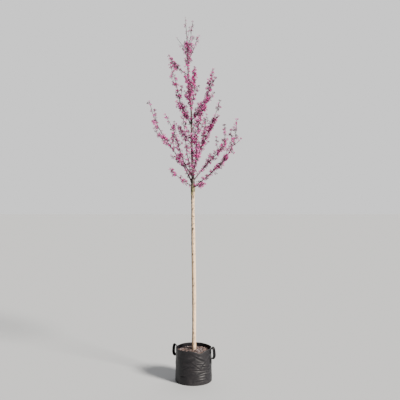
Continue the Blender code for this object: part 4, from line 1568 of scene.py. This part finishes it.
Crease = namedtuple("Crease", "turn height slope bend half width depth")
CREASES = [Crease(math.radians(degrees), *rest) for degrees, *rest in (
    # long ones that the settled soil has left, and the handles' folds
    (-88, 0.136, 0.02, -0.5, 0.060, 0.0050, 0.0034),
    (-72, 0.114, -0.05, 0.6, 0.085, 0.0050, 0.0036),
    (-58, 0.089, 0.09, -0.6, 0.050, 0.0055, 0.0030),
    (-40, 0.131, 0.55, 0.0, 0.030, 0.0045, 0.0028),
    (-66, 0.185, -0.10, 1.2, 0.040, 0.0060, 0.0028),
    (-84, 0.176, -0.75, 0.0, 0.045, 0.0080, 0.0022),
    (-60, 0.063, -0.12, 0.8, 0.045, 0.0055, 0.0030),
    (-47, 0.205, 0.85, -2.0, 0.050, 0.0120, 0.0038),
    (-74, 0.238, -0.55, 1.5, 0.055, 0.0110, 0.0034),
    (-100, 0.226, 0.35, 2.0, 0.060, 0.0130, 0.0030),
    (-21, 0.160, 0.10, 3.0, 0.040, 0.0080, 0.0030),
    (159, 0.158, -0.15, 3.0, 0.045, 0.0080, 0.0030),
)]
SMALL_CREASES = 34              # short ones, anywhere
cloth_rng = random.Random(SEED + 4)
for _ in range(SMALL_CREASES):
    CREASES.append(Crease(turn=cloth_rng.uniform(0, math.tau),
                          height=cloth_rng.uniform(0.035, 0.255),
                          slope=cloth_rng.gauss(0, 0.22),
                          bend=cloth_rng.uniform(-2, 2),
                          half=cloth_rng.uniform(0.015, 0.060),
                          width=cloth_rng.uniform(0.0035, 0.0075),
                          depth=cloth_rng.uniform(0.0010, 0.0030)))


def bag_radius(height):
    """Outer radius of the slack-free wall, which bulges and spreads at its rounded foot."""
    level = max(height, BAG_FOOT_ROUND)
    bulged = BAG_RADIUS + BAG_BULGE * math.sin(math.pi * level / BAG_HEIGHT)
    bulged += BAG_FLARE * max(0.0, 1 - level / BAG_FLARE_TOP) ** 2
    if height >= BAG_FOOT_ROUND:
        return bulged
    rise = 1 - max(0.0, height) / BAG_FOOT_ROUND
    return BAG_FOOT_RADIUS + (bulged - BAG_FOOT_RADIUS) * math.sqrt(1 - rise ** 2)


def turned_by(turn, start):
    """The way from one turn to another, by the shorter side."""
    return (turn - start + math.pi) % math.tau - math.pi


def folds(turn, height):
    """How far the cloth stands out of its slack-free wall, and how much of that creases make."""
    spot = Vector((math.cos(turn), math.sin(turn), height / BAG_RADIUS))
    dents = BROAD_DENT * noise.noise(spot * 2.3) + FINE_DENT * noise.noise(spot * 9)
    sharp = 0.0
    for crease in CREASES:
        along_it = turned_by(turn, crease.turn) * BAG_RADIUS
        off = height - crease.height - crease.slope * along_it - crease.bend * along_it ** 2
        if abs(along_it) < 2 * crease.half and abs(off) < 5 * crease.width:
            reach = math.exp(-(along_it / crease.half) ** 4)
            ridge = 0.6 * math.exp(-((off - 1.6 * crease.width) / crease.width) ** 2)
            sharp += crease.depth * reach * (ridge - math.exp(-(off / crease.width) ** 2))
    slack = min(1.0, height / STIFF_FOOT) * held((BAG_HEIGHT - height) / STIFF_RIM, 0.25)
    off_corner = turned_by(turn, FOOT_CORNER_AT) / FOOT_CORNER_WIDTH
    corner = math.exp(-off_corner ** 2 - (height / FOOT_CORNER_HEIGHT) ** 2)
    corner *= FOOT_CORNER * min(1.0, height / 0.004)
    return (dents + sharp) * slack + corner, sharp * slack


def rim_sag(turn):
    """How far the rim sinks at a turn round the bag."""
    wave = RIM_WAVE * noise.noise(Vector((math.cos(turn), math.sin(turn), 4.0)) * 1.7)
    return RIM_DIP * math.exp(-(turned_by(turn, RIM_DIP_AT) / RIM_DIP_WIDTH) ** 2) + wave


def cloth_point(turn, height, out=0.0):
    """A point on the cloth's outer face, or so far outside it."""
    radius = bag_radius(height) + folds(turn, height)[0] + out
    share = max(0.0, (height - (BAG_HEIGHT - RIM_BAND)) / RIM_BAND)
    lowered = height - share * rim_sag(turn)
    return Vector((math.cos(turn) * radius, math.sin(turn) * radius, lowered))


print("the rim is", round(cloth_point(RIM_DIP_AT, BAG_HEIGHT).z * 1000), "mm up at the dip and",
      round(cloth_point(RIM_DIP_AT + math.pi, BAG_HEIGHT).z * 1000), "mm up behind")

# %% [markdown]
# The shell itself is a section spun round and then laid on the cloth. It is spun with the wall
# plain, because a vertex's turn and height can then be read straight off it. Its UV map counts
# tapes of the weave, a whole number of them round the bag, so that the pattern closes without a
# seam.

# %% Spin the shell and lay it on the cloth
TAPE = 0.0025                   # width of one woven tape
TAPES_AROUND = round(math.tau * BAG_RADIUS / TAPE)
RIM_HIGHLIGHT_BAND = 0.0016               # over how much of the rim's fold it is painted paler, as a painted highlight
BAG_STEPS = 220
WALL_STEP = 0.0028


def spun(section, steps):
    """A section of radius and height, spun right round."""
    bm = bmesh.new()
    verts = [bm.verts.new((radius, 0.0, height)) for radius, height in section]
    edges = [bm.edges.new(pair) for pair in zip(verts, verts[1:])]
    bmesh.ops.spin(bm, geom=verts + edges, cent=(0, 0, 0), axis=(0, 0, 1), angle=math.tau,
                   steps=steps, use_merge=True)
    bmesh.ops.remove_doubles(bm, verts=bm.verts, dist=1e-6)
    bmesh.ops.recalc_face_normals(bm, faces=bm.faces)
    return bm


def count_tapes(bm):
    """A UV map in tapes: round and up on the wall, across both ways on the underside."""
    weave_map = bm.loops.layers.uv.new("weave")
    for face in bm.faces:
        underside = max(vert.co.z for vert in face.verts) < 1e-6
        middle = face.calc_center_median()
        middle_turn = math.atan2(middle.y, middle.x)
        for loop in face.loops:
            x, y, z = loop.vert.co
            turn = middle_turn + turned_by(math.atan2(y, x), middle_turn)
            flat = (x / TAPE, y / TAPE)
            loop[weave_map].uv = flat if underside else (turn / math.tau * TAPES_AROUND, z / TAPE)


def lay_on_cloth(bm):
    """Move what was spun round the plain wall onto the cloth, and note how far creases lift it."""
    ridge = bm.verts.layers.float.new("ridge")
    for vert in bm.verts:
        x, y, height = vert.co
        turn = math.atan2(y, x)
        if height > 1e-6:
            # The rim's top edge is painted paler, as a painted highlight.
            rim_highlight = max(0.0, (height - BAG_HEIGHT + 0.001) / RIM_HIGHLIGHT_BAND)
            vert[ridge] = folds(turn, height)[1] / 0.003 + rim_highlight
            vert.co = cloth_point(turn, height, math.hypot(x, y) - BAG_RADIUS)


underside = [(share * BAG_FOOT_RADIUS, 0.0) for share in (0, 0.25, 0.5, 0.7, 0.85, 0.95, 1)]
wall_levels = [0.0012, 0.0030, 0.0055, 0.0080]
wall_levels += list(np.linspace(BAG_FOOT_ROUND, BAG_HEIGHT, round(BAG_HEIGHT / WALL_STEP)))
bag_shell = spun([*underside, *[(BAG_RADIUS, height) for height in wall_levels]], BAG_STEPS)
highest = max(bag_shell.faces, key=lambda face: face.calc_center_median().z)
if highest.normal.dot(highest.calc_center_median()) < 0:
    bmesh.ops.reverse_faces(bag_shell, faces=bag_shell.faces)
count_tapes(bag_shell)
lay_on_cloth(bag_shell)
print(len(bag_shell.faces), "faces,", TAPES_AROUND, "tapes around")

# %% [markdown]
# Woven tape goes over and under in turn, so its effect is a chequer of two waves. The bag, its hem
# and its straps all use it. Creases and crossings are paler, and the rim's top edge is painted paler
# as a painted highlight. On top lies dust, low down and on the side that faces the path, where it
# turns the black to a warm grey.

# %% Weave and cloth finish
weave, given, out = new_effect("weave", {"Vector": None, "Dive": 0.45}, ["Height", "Over"])
parts = add(weave, "SeparateXYZ", {0: given["Vector"]}).outputs
waves = []
for axis in (0, 1):
    swing = maths(weave, "SINE", times(weave, parts[axis], math.pi))
    waves.append(maths(weave, "POWER", maths(weave, "ABSOLUTE", swing), 0.6))
cells = plus(weave, *[maths(weave, "FLOOR", parts[axis]) for axis in (0, 1)])
over = maths(weave, "GREATER_THAN", maths(weave, "FLOORED_MODULO", cells, 2.0), 0.5)
tape_heights = []
for across, lengthways in (waves, waves[::-1]):
    dive = times(weave, maths(weave, "SUBTRACT", 1.0, lengthways), given["Dive"])
    tape_heights.append(times(weave, across, maths(weave, "SUBTRACT", 1.0, dive)))
first = times(weave, tape_heights[0], over)
second = times(weave, tape_heights[1], maths(weave, "SUBTRACT", 1.0, over))
weave.links.new(plus(weave, first, second), out["Height"])
weave.links.new(over, out["Over"])

CLOTH_BLACK, CLOTH_PALER_AND_HIGHLIGHT = (0.0052, 0.0050, 0.0068), (0.0190, 0.0172, 0.0200)
STRAP_BLACK, STRAP_WORN = (0.0030, 0.0032, 0.0042), (0.008, 0.008, 0.009)
CLOTH_GLOSS, STRAP_GLOSS = 0.30, 0.12   # specular level: both are matt next to plain plastic
CLOTH_DUST, STRAP_DUST = 0.23, 0.12     # how much of the dust shows
DUST = (0.082, 0.067, 0.066)
DUSTY_SIDE = (0.15, -0.99, 0.0)


def woven_finish(name, black, worn, dust_share, gloss, bump):
    """Woven plastic tape: satin, paler on creases and crossings, a painted highlight on the rim,
    dusty low down.
    """
    material, tree, shader = new_finish(name, 0.5)
    place = place_of(tree)
    woven = effect(tree, weave, Vector=add(tree, "UVMap", uv_map="weave").outputs[0])
    ridge = attribute(tree, "ridge")
    # crease ridges and weave crossings turn paler, and the rim's top edge too, as a painted highlight
    paler_share = plus(tree, times(tree, ridge, 0.9), times(tree, woven["Over"], 0.35))
    cloth = mixed(tree, ranged(tree, paler_share, 0.0, 1.0), black, worn)
    side = ranged(tree, side_facing(tree, place, DUSTY_SIDE), 0.080, 0.165, 0.0, 0.60)
    low = ranged(tree, height_of(tree, place), 0.060, 0.0, 0.0, 0.45)
    specks = effect(tree, dirt, Vector=place, Scale=26.0, Cover=0.50)["Mask"]
    film = noise_of(tree, place, 85.0, 5.0, 0.7)
    uneven = plus(tree, times(tree, specks, 0.5), ranged(tree, film, 0.35, 0.7, 0.1, 0.6))
    spread = times(tree, plus(tree, side, low), uneven)
    dusty = times(tree, ranged(tree, spread, 0.0, 1.0), dust_share)
    feed(tree, shader, {"Base Color": mixed(tree, dusty, cloth, DUST),
                        "Roughness": ranged(tree, spread, 0.0, 0.8, 0.42, 0.66),
                        "Specular IOR Level": gloss})
    relief_on(tree, shader, woven["Height"], bump, 0.40)
    return material


bag_cloth = woven_finish("bag_cloth", CLOTH_BLACK, CLOTH_PALER_AND_HIGHLIGHT, CLOTH_DUST, CLOTH_GLOSS, 0.0004)
strap_cloth = woven_finish("strap_webbing", STRAP_BLACK, STRAP_WORN, STRAP_DUST, STRAP_GLOSS,
                           0.0006)
shell = keep("bag_shell", bag_shell, bag_cloth, ["bag"], sharp=75)
thick = shell.modifiers.new("cloth thickness", "SOLIDIFY")
thick.thickness, thick.offset = CLOTH, -1.0

# %% [markdown]
# The rim is folded over and stitched down with two rows, which makes it the stiffest part of the
# bag. The hem is a closed section spun round the plain wall and laid on the cloth like the shell.
# Stitches are short grains of thread, each placed on the cloth by its turn and height.

# %% Hem
HEM_DEPTH, HEM_THICK = 0.024, 0.0015
hem_outside = [(HEM_THICK, BAG_HEIGHT - drop) for drop in np.linspace(HEM_DEPTH - 0.001, 0.002, 8)]
hem_inside = [(-CLOTH - HEM_THICK, height) for _, height in reversed(hem_outside)]
hem_top = [(out, BAG_HEIGHT + rise)
           for out, rise in ((0.0006, 0.0010), (-0.0011, 0.0018), (-0.0028, 0.0010))]
hem_lips = [(out, BAG_HEIGHT - HEM_DEPTH) for out in (-CLOTH - 0.0003, 0.0003)]
section = [hem_lips[1], *hem_outside, *hem_top, *hem_inside, *hem_lips]
bm = spun([(BAG_RADIUS + out, height) for out, height in section], BAG_STEPS)
print("the hem is", "outwards" if bm.calc_volume(signed=True) > 0 else "inside out")
count_tapes(bm)
lay_on_cloth(bm)
keep("bag_hem", bm, bag_cloth, ["bag"], sharp=60)

# %% [markdown]
# ## Webbing: the two handles and the seam
#
# Each handle is one flat strap. It is sewn to the wall under the rim, rises a little, turns down
# in a D and comes back to the wall, where it is sewn on again. A strap bends only across its flat
# side, so its width always lies along the wall. It is a sheet rolled to a flattened section and
# drawn along its path, and the back seam, a narrow tape, is made in the same way.

# %% A strap along a path
STRAP_SIDES = 24


def flat_round(turn, width, depth):
    """A point on a flattened section with rounded edges."""
    side, rise = math.cos(turn), math.sin(turn)
    return Vector((math.copysign(abs(side) ** 0.35, side) * width / 2,
                   math.copysign(abs(rise) ** 0.55, rise) * depth / 2, 0))


def webbing(frames, widths, depths):
    """A strap: a grid rolled to a flattened section, with its tapes counted in a UV map."""
    rings = len(frames) - 1
    reach = lengths_along([place.translation for place in frames])
    bm = bmesh.new()
    bmesh.ops.create_grid(bm, x_segments=STRAP_SIDES, y_segments=rings, size=0.5)
    weave_map = bm.loops.layers.uv.new("weave")
    bm.verts.layers.float.new("ridge")
    for face in bm.faces:
        for loop in face.loops:
            across, ring = loop.vert.co.x + 0.5, round((loop.vert.co.y + 0.5) * rings)
            loop[weave_map].uv = (round(2 * max(widths) / TAPE) * across, reach[ring] / TAPE)
    for vert in bm.verts:
        turn = math.tau * round((vert.co.x + 0.5) * STRAP_SIDES) / STRAP_SIDES
        ring = round((vert.co.y + 0.5) * rings)
        vert.co = frames[ring] @ flat_round(turn, widths[ring], depths[ring])
    close_tube(bm)
    bmesh.ops.recalc_face_normals(bm, faces=bm.faces)
    return bm


def strap_frames(turn, path, twists=None):
    """Frames of a strap in one upright plane: width round the bag, depth off it, and a twist."""
    across = Vector((-math.sin(turn), math.cos(turn), 0))
    twists = twists or [0.0] * len(path)
    frames = []
    for before, point, after, twist in zip([path[0], *path], path, [*path[1:], path[-1]], twists):
        onwards = (after - before).normalized()
        off_wall = onwards.cross(across).normalized()
        turned_frame = Matrix((across, off_wall, onwards)).transposed().to_4x4()
        frames.append(Matrix.Translation(point) @ turned_frame @ Matrix.Rotation(twist, 4, "Z"))
    return frames


def eased(points, rounds):
    """Round the corners of a path, its ends held."""
    for _ in range(rounds):
        middles = [(a + 2 * b + c) / 4 for a, b, c in zip(points, points[1:], points[2:])]
        points = [points[0], *middles, points[-1]]
    return points


SEAM_TURN = math.pi / 2
SEAM_POINTS = 90
SEAM_WIDTH, SEAM_DEPTH = 0.016, 0.0024
seam_path = [cloth_point(SEAM_TURN, height, 0.0006)
             for height in np.linspace(0.006, BAG_HEIGHT - 0.003, SEAM_POINTS)]
seam = webbing(strap_frames(SEAM_TURN, seam_path),
               [SEAM_WIDTH] * SEAM_POINTS, [SEAM_DEPTH] * SEAM_POINTS)
keep("bag_seam", seam, bag_cloth, ["bag"], sharp=50)

# %% The handles
HANDLE_TURN = math.radians(-21)
HANDLE_REACH = 0.042
HANDLE_TOP, HANDLE_FOOT = 0.298, 0.217
HANDLE_LIFT = 0.030
HANDLE_SQUARENESS = 0.75
BAG_WALL = 0.004                # of the solid, from whose inner face the reach counts
TAB_TOP_END, TAB_FOOT_END = 0.264, 0.178
TAB_DEPTH, LOOP_DEPTH = 0.0036, 0.0085
TAB_WIDTH, LOOP_WIDTH = 0.0270, 0.0300
TAB_CLEAR = 0.0004              # off the cloth under the hem
LOOP_FROM, LOOP_OVER = 0.007, 0.015     # off the wall: where a tab starts to turn into the loop
LOOP_TWIST = math.radians(36)   # how far the slack loop turns its flat side to the front
LOOP_POINTS = 44


def loop_point(share):
    """Distance off the wall and height of the loop, from its upper end at 0 to its lower at 1."""
    turn = math.pi * share
    middle, half = (HANDLE_TOP + HANDLE_FOOT) / 2, (HANDLE_TOP - HANDLE_FOOT) / 2
    across = math.copysign(abs(math.cos(turn)) ** HANDLE_SQUARENESS, math.cos(turn))
    height = middle + half * across + HANDLE_LIFT * max(0.0, math.sin(2 * turn))
    return HANDLE_REACH * abs(math.sin(turn)) ** HANDLE_SQUARENESS - BAG_WALL, height


def handle_path(turn):
    """Up the wall as a tab, round the loop, and down the wall as a tab."""
    over_hem = HEM_THICK + TAB_DEPTH / 2
    flat = [(over_hem, height) for height in np.linspace(TAB_TOP_END, HANDLE_TOP - 0.004, 9)]
    flat += [(max(off, over_hem), height)
             for off, height in (loop_point(step / LOOP_POINTS) for step in range(1, LOOP_POINTS))]
    flat += [(TAB_DEPTH / 2 + TAB_CLEAR, height)
             for height in np.linspace(HANDLE_FOOT - 0.003, TAB_FOOT_END, 10)]
    path = []
    for off, height in flat:
        on_wall = min(height, BAG_HEIGHT - 0.012)
        slack = folds(turn, on_wall)[0] * max(0.0, 1 - off / 0.02)
        radius = bag_radius(on_wall) + slack + off
        path.append(Vector((math.cos(turn) * radius, math.sin(turn) * radius, height)))
    return eased(path, 5)


def loop_share(path):
    """How far each point of a path has left the wall, from 0 on it to 1 in the loop."""
    out = [math.hypot(point.x, point.y) - bag_radius(min(point.z, BAG_HEIGHT)) for point in path]
    shares = [held((distance - LOOP_FROM) / LOOP_OVER) for distance in out]
    return [share ** 2 * (3 - 2 * share) for share in shares]


for name, turn in (("handle_right", HANDLE_TURN), ("handle_left", HANDLE_TURN + math.pi)):
    path = handle_path(turn)
    shares = loop_share(path)
    widths = [TAB_WIDTH + (LOOP_WIDTH - TAB_WIDTH) * share for share in shares]
    depths = [TAB_DEPTH + (LOOP_DEPTH - TAB_DEPTH) * share for share in shares]
    twists = [LOOP_TWIST * share for share in shares]
    strap = webbing(strap_frames(turn, path, twists), widths, depths)
    keep(f"strap_{name.split('_')[1]}", strap, strap_cloth, [name], sharp=50)
    farthest = max(math.hypot(point.x, point.y) for point in path)
    print("  stands", round(farthest * 1000), "mm off the axis")

# %% [markdown]
# Every tab is sewn on with a box and a cross, the usual stitch where a strap carries weight. The
# hem has two rows, and the base is sewn to the wall with one. A stitch lies along its row and half
# sunk in the cloth, so its frame needs the row's direction as well as the way out of the cloth.

# %% Stitches
STITCH_LENGTH, STITCH_PITCH, STITCH_RADIUS = 0.0042, 0.0058, 0.00045
THREAD = (0.040, 0.040, 0.044)
BASE_ROW = 0.0125               # height of the row that holds the base
SEAM_ROW = 0.0055               # off the middle of the back seam
BOX_HALF = 0.0092               # half the width of a box of stitches on a tab


def stitch_row(corners, out):
    """Stitches along straight runs from corner to corner, each corner a turn and a height."""
    places = []
    for (turn, height), (turn_after, height_after) in zip(corners, corners[1:]):
        run = math.hypot((turn_after - turn) * BAG_RADIUS, height_after - height)
        count = max(1, round(run / STITCH_PITCH))
        for number in range(count):
            shares = [(number + step) / count for step in (0.2, 0.5, 0.8)]
            foot, middle, head = [cloth_point(turn + (turn_after - turn) * share,
                                              height + (height_after - height) * share, out)
                                  for share in shares]
            along_row = (head - foot).normalized()
            outwards = Vector((middle.x, middle.y, 0)).normalized()
            side = outwards.cross(along_row).normalized()
            turned_frame = Matrix((along_row, side, along_row.cross(side))).transposed().to_4x4()
            places.append(Matrix.Translation(middle) @ turned_frame)
    return places


stitches = []
for height in (BAG_HEIGHT - HEM_DEPTH + 0.004, BAG_HEIGHT - 0.006):
    stitches += stitch_row([(0, height), (math.tau, height)], HEM_THICK + 0.0001)
stitches += stitch_row([(0, BASE_ROW), (math.tau, BASE_ROW)], 0.0001)
for edge in (-SEAM_ROW, SEAM_ROW):
    turn = SEAM_TURN + edge / BAG_RADIUS
    stitches += stitch_row([(turn, 0.012), (turn, BAG_HEIGHT - HEM_DEPTH)], 0.0019)
for middle in (HANDLE_TURN, HANDLE_TURN + math.pi):
    for low, high, out in ((TAB_TOP_END + 0.003, 0.290, HEM_THICK + TAB_DEPTH),
                           (TAB_FOOT_END + 0.003, 0.214, TAB_DEPTH + TAB_CLEAR)):
        left, right = middle - BOX_HALF / BAG_RADIUS, middle + BOX_HALF / BAG_RADIUS
        stitches += stitch_row([(left, low), (right, low), (right, high), (left, high), (left, low),
                                (right, high)], out)
        stitches += stitch_row([(right, low), (left, high)], out)
bm = bmesh.new()
add_ball(bm, 5, 3, Matrix.Rotation(math.radians(90), 4, "Y")
         @ Matrix.Diagonal((STITCH_RADIUS, STITCH_RADIUS, STITCH_LENGTH / 2, 1)))
stitch = as_mesh("stitch", bm)
thread, tree, shader = new_finish("thread", 0.45)
ply = {"Vector": place_of(tree), "Scale": 260.0, "Distortion": 1.5}
twist = add(tree, "TexWave", ply).outputs["Fac"]
feed(tree, shader, {"Base Color": mixed(tree, twist, THREAD, shaded(THREAD, 0.45))})
relief_on(tree, shader, twist, 0.0002, 0.5)
scattered("stitches", stitch, stitches, thread, ["bag"])

# %% [markdown]
# ## Soil and bark mulch
#
# The root ball is out of sight: it fills the bag, and its top is covered with chipped bark, pinkish
# brown where it is fresh, grey where it has dried, with crumbs between. The soil is one closed
# plug that follows the cloth's inside, since cloth and soil press on each other. The mulch is
# chips laid on it one by one, because a bump map would never give their shadows and edges.

# %% The soil's plug
SOIL_EDGE, SOIL_SHOULDER, SOIL_FLAT_RADIUS = 0.272, 0.60, 0.034
SOIL_CLEAR = CLOTH + 0.0010
SOIL_LUMP = 0.0035
SOIL_FOOT = 0.005               # height of its underside
SOIL_STEPS = 144
CALM_TO, CALM_OVER = 0.022, 0.03    # the soil is even this close to the trunk's middle
SOIL_DARK, SOIL_LIGHT = (0.030, 0.020, 0.015), (0.085, 0.055, 0.042)
SOIL_CRUMB = (0.15, 0.105, 0.085)


def soil_edge_radius(turn):
    """Where the soil meets the cloth at a turn."""
    return math.hypot(*cloth_point(turn, SOIL_EDGE, -SOIL_CLEAR).xy)


def soil_height(x, y):
    """Height of the soil's surface: level round the trunk, lower at the wall, and lumpy."""
    radius = math.hypot(x, y)
    edge = BAG_RADIUS - SOIL_CLEAR
    shoulder = SOIL_SHOULDER * edge
    fall = SOIL_CROWN - SOIL_EDGE
    if radius < shoulder:
        from_flat = max(0.0, radius - SOIL_FLAT_RADIUS)
        drop = fall / 3 * from_flat / (shoulder - SOIL_FLAT_RADIUS)
    else:
        drop = fall / 3 + fall * 2 / 3 * (radius - shoulder) / (edge - shoulder)
    lumps = noise.fractal(Vector((x, y, 0)) * 22, 1.0, 2.0, 3)
    return SOIL_CROWN - drop + SOIL_LUMP * held((radius - CALM_TO) / CALM_OVER) * lumps


soil_top = [(share, SOIL_EDGE) for share in np.linspace(0.985, 0.0, 44)]
soil_wall = [(1.0, height) for height in np.linspace(0.006, SOIL_EDGE - 0.002, 36)]
soil_base = [(share, SOIL_FOOT) for share in (0.0, 0.5, 0.97)]
bm = spun([*soil_base, *soil_wall, *soil_top], SOIL_STEPS)
for vert in bm.verts:
    x, y, height = vert.co
    turn, share = math.atan2(y, x), math.hypot(x, y)
    on_top = height > SOIL_EDGE - 1e-6
    wall = cloth_point(turn, min(height, SOIL_EDGE), -SOIL_CLEAR)
    x, y = wall.x * share, wall.y * share
    vert.co = (x, y, soil_height(x, y) if on_top else max(SOIL_FOOT, height))
if bm.calc_volume(signed=True) < 0:
    bmesh.ops.reverse_faces(bm, faces=bm.faces)

soil_finish, tree, shader = new_finish("soil", 0.92)
place = place_of(tree)
crumbs = add(tree, "TexVoronoi", {"Vector": place, "Scale": 260.0}).outputs["Distance"]
damp = noise_of(tree, place, 30.0, 5.0)
soil_colour = mixed(tree, ranged(tree, damp, 0.35, 0.65), SOIL_DARK, SOIL_LIGHT)
soil_colour = mixed(tree, ranged(tree, crumbs, 0.5, 0.1, 0.0, 0.5), soil_colour, SOIL_CRUMB)
feed(tree, shader, {"Base Color": soil_colour})
relief_on(tree, shader, maths(tree, "SUBTRACT", damp, crumbs), 0.0025, 0.9)
keep("soil_plug", bm, soil_finish, ["soil"], sharp=60)

# %% [markdown]
# A chip is a ball of twenty faces, pressed flat and knocked out of shape. Three such shapes in
# three tints and in many sizes, turned every way, are enough for no two neighbours to look alike.
# Crumbs are the same in small. They lie on the soil's height function, so none hangs in the air.

# %% Chips and crumbs
CHIP_TINTS = {"fresh": (0.140, 0.084, 0.072),
              "dried": (0.165, 0.132, 0.136),
              "dark": (0.028, 0.018, 0.017)}
CHIP_SHARES = (0.40, 0.36, 0.24)
CHIP_SHAPES = 3
CHIP_COUNT, CRUMB_COUNT = 760, 620
CHIP_LONG = (0.008, 0.030)
CRUMB_LONG = (0.003, 0.0065)
CHIP_FLAT = 0.26
CHIP_PRESSED = 0.55             # of the ball's radius, beyond which its two flat sides are cut
CHIP_WIDE = 0.27                # half its width, of its length
CHIP_TILT, CRUMB_TILT, HEAP_TILT = 0.30, 0.8, 0.15
TRUNK_CLEAR = 0.029
SHADOW_HEAP = [(-0.046, 0.050, 0.042), (-0.030, 0.058, 0.034), (-0.058, 0.062, 0.036),
             (-0.040, 0.036, 0.030), (-0.064, 0.044, 0.030)]    # dark chips heaped where the stem's shadow falls, as painted shadow

chip_rng = random.Random(SEED + 5)


def chip_shape(number):
    """A long ball pressed flat on two sides, with its corners knocked about."""
    bm = bmesh.new()
    bmesh.ops.create_icosphere(bm, subdivisions=1, radius=1.0)
    for vert in bm.verts:
        knocked = vert.co * chip_rng.uniform(0.78, 1.15)
        flat = held(knocked.z, -CHIP_PRESSED, CHIP_PRESSED) * CHIP_FLAT / CHIP_PRESSED
        vert.co = (knocked.x * 0.5, knocked.y * CHIP_WIDE, flat * 0.5)
    return as_mesh(f"chip_{number}", bm)


def chip_place(x, y, length, tilt):
    """A spot on the soil, the chip turned any way and tipped a little."""
    spot = Vector((x, y, soil_height(x, y) + length * CHIP_FLAT * 0.25))
    turned = Matrix.Rotation(chip_rng.uniform(0, math.tau), 4, "Z")
    pitched = Matrix.Rotation(chip_rng.gauss(0, tilt), 4, "X")
    rocked = Matrix.Rotation(chip_rng.gauss(0, tilt), 4, "Y")
    return Matrix.Translation(spot) @ (turned @ pitched) @ rocked @ Matrix.Scale(length, 4)


def strewn(count, lengths, tilt):
    """Places spread evenly over the soil, off the trunk and off the wall."""
    places = []
    while len(places) < count:
        turn = chip_rng.uniform(0, math.tau)
        radius = BAG_RADIUS * math.sqrt(chip_rng.random())
        length = lengths[0] * (lengths[1] / lengths[0]) ** (chip_rng.random() ** 1.6)
        x, y = math.cos(turn) * radius, math.sin(turn) * radius
        if TRUNK_CLEAR + 0.4 * length < radius < soil_edge_radius(turn) - 0.5 * length:
            places.append(chip_place(x, y, length, tilt))
    return places


def chip_finish(name, colour):
    """Split bark: its colour drawn out in grain and uneven from chip to chip."""
    material, tree, shader = new_finish(name, 0.85)
    place = place_of(tree)
    uneven = noise_of(tree, place, 55.0, 2.0)
    grain = noise_of(tree, place, 700.0, 3.0)
    darker = shaded(colour, 0.45)
    chip = mixed(tree, ranged(tree, uneven, 0.35, 0.65), darker, shaded(colour, 1.35))
    chip = mixed(tree, ranged(tree, grain, 0.4, 0.7, 0.0, 0.6), chip, darker)
    feed(tree, shader, {"Base Color": chip})
    relief_on(tree, shader, grain, 0.0006, 0.8)
    return material


chips = {(tint, shape): [] for tint in CHIP_TINTS for shape in range(CHIP_SHAPES)}
for place in strewn(CHIP_COUNT, CHIP_LONG, CHIP_TILT):
    tint = chip_rng.choices(list(CHIP_TINTS), CHIP_SHARES)[0]
    chips[tint, chip_rng.randrange(CHIP_SHAPES)].append(place)
# Painted shadow: dark chips heaped left of and behind the stem, where its shadow falls on the mulch.
chips["dark", 0] += [chip_place(*spot, HEAP_TILT) for spot in SHADOW_HEAP]
crumbs_in = {tint: strewn(CRUMB_COUNT // len(CHIP_TINTS), CRUMB_LONG, CRUMB_TILT)
             for tint in CHIP_TINTS}
shapes = [chip_shape(number) for number in range(CHIP_SHAPES)]
for tint, colour in CHIP_TINTS.items():
    finish = chip_finish(f"chips_{tint}", colour)
    for shape, template in enumerate(shapes):
        places = chips[tint, shape] + (crumbs_in[tint] if shape == 0 else [])
        scattered(f"mulch_{tint}_{shape}", template, places, finish, ["soil"])

# %% [markdown]
# ## Close the lesson
#
# The dressed tree has to take up the same room as the solids, or it would no longer fit where they
# do.

# %% Print the two boxes
dressed_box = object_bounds()
sizes = {"cad": [list(corner) for corner in cad_box],
         "visual": [list(corner) for corner in dressed_box]}
for key, box in sizes.items():
    print(key, [[round(value, 4) for value in corner] for corner in box])
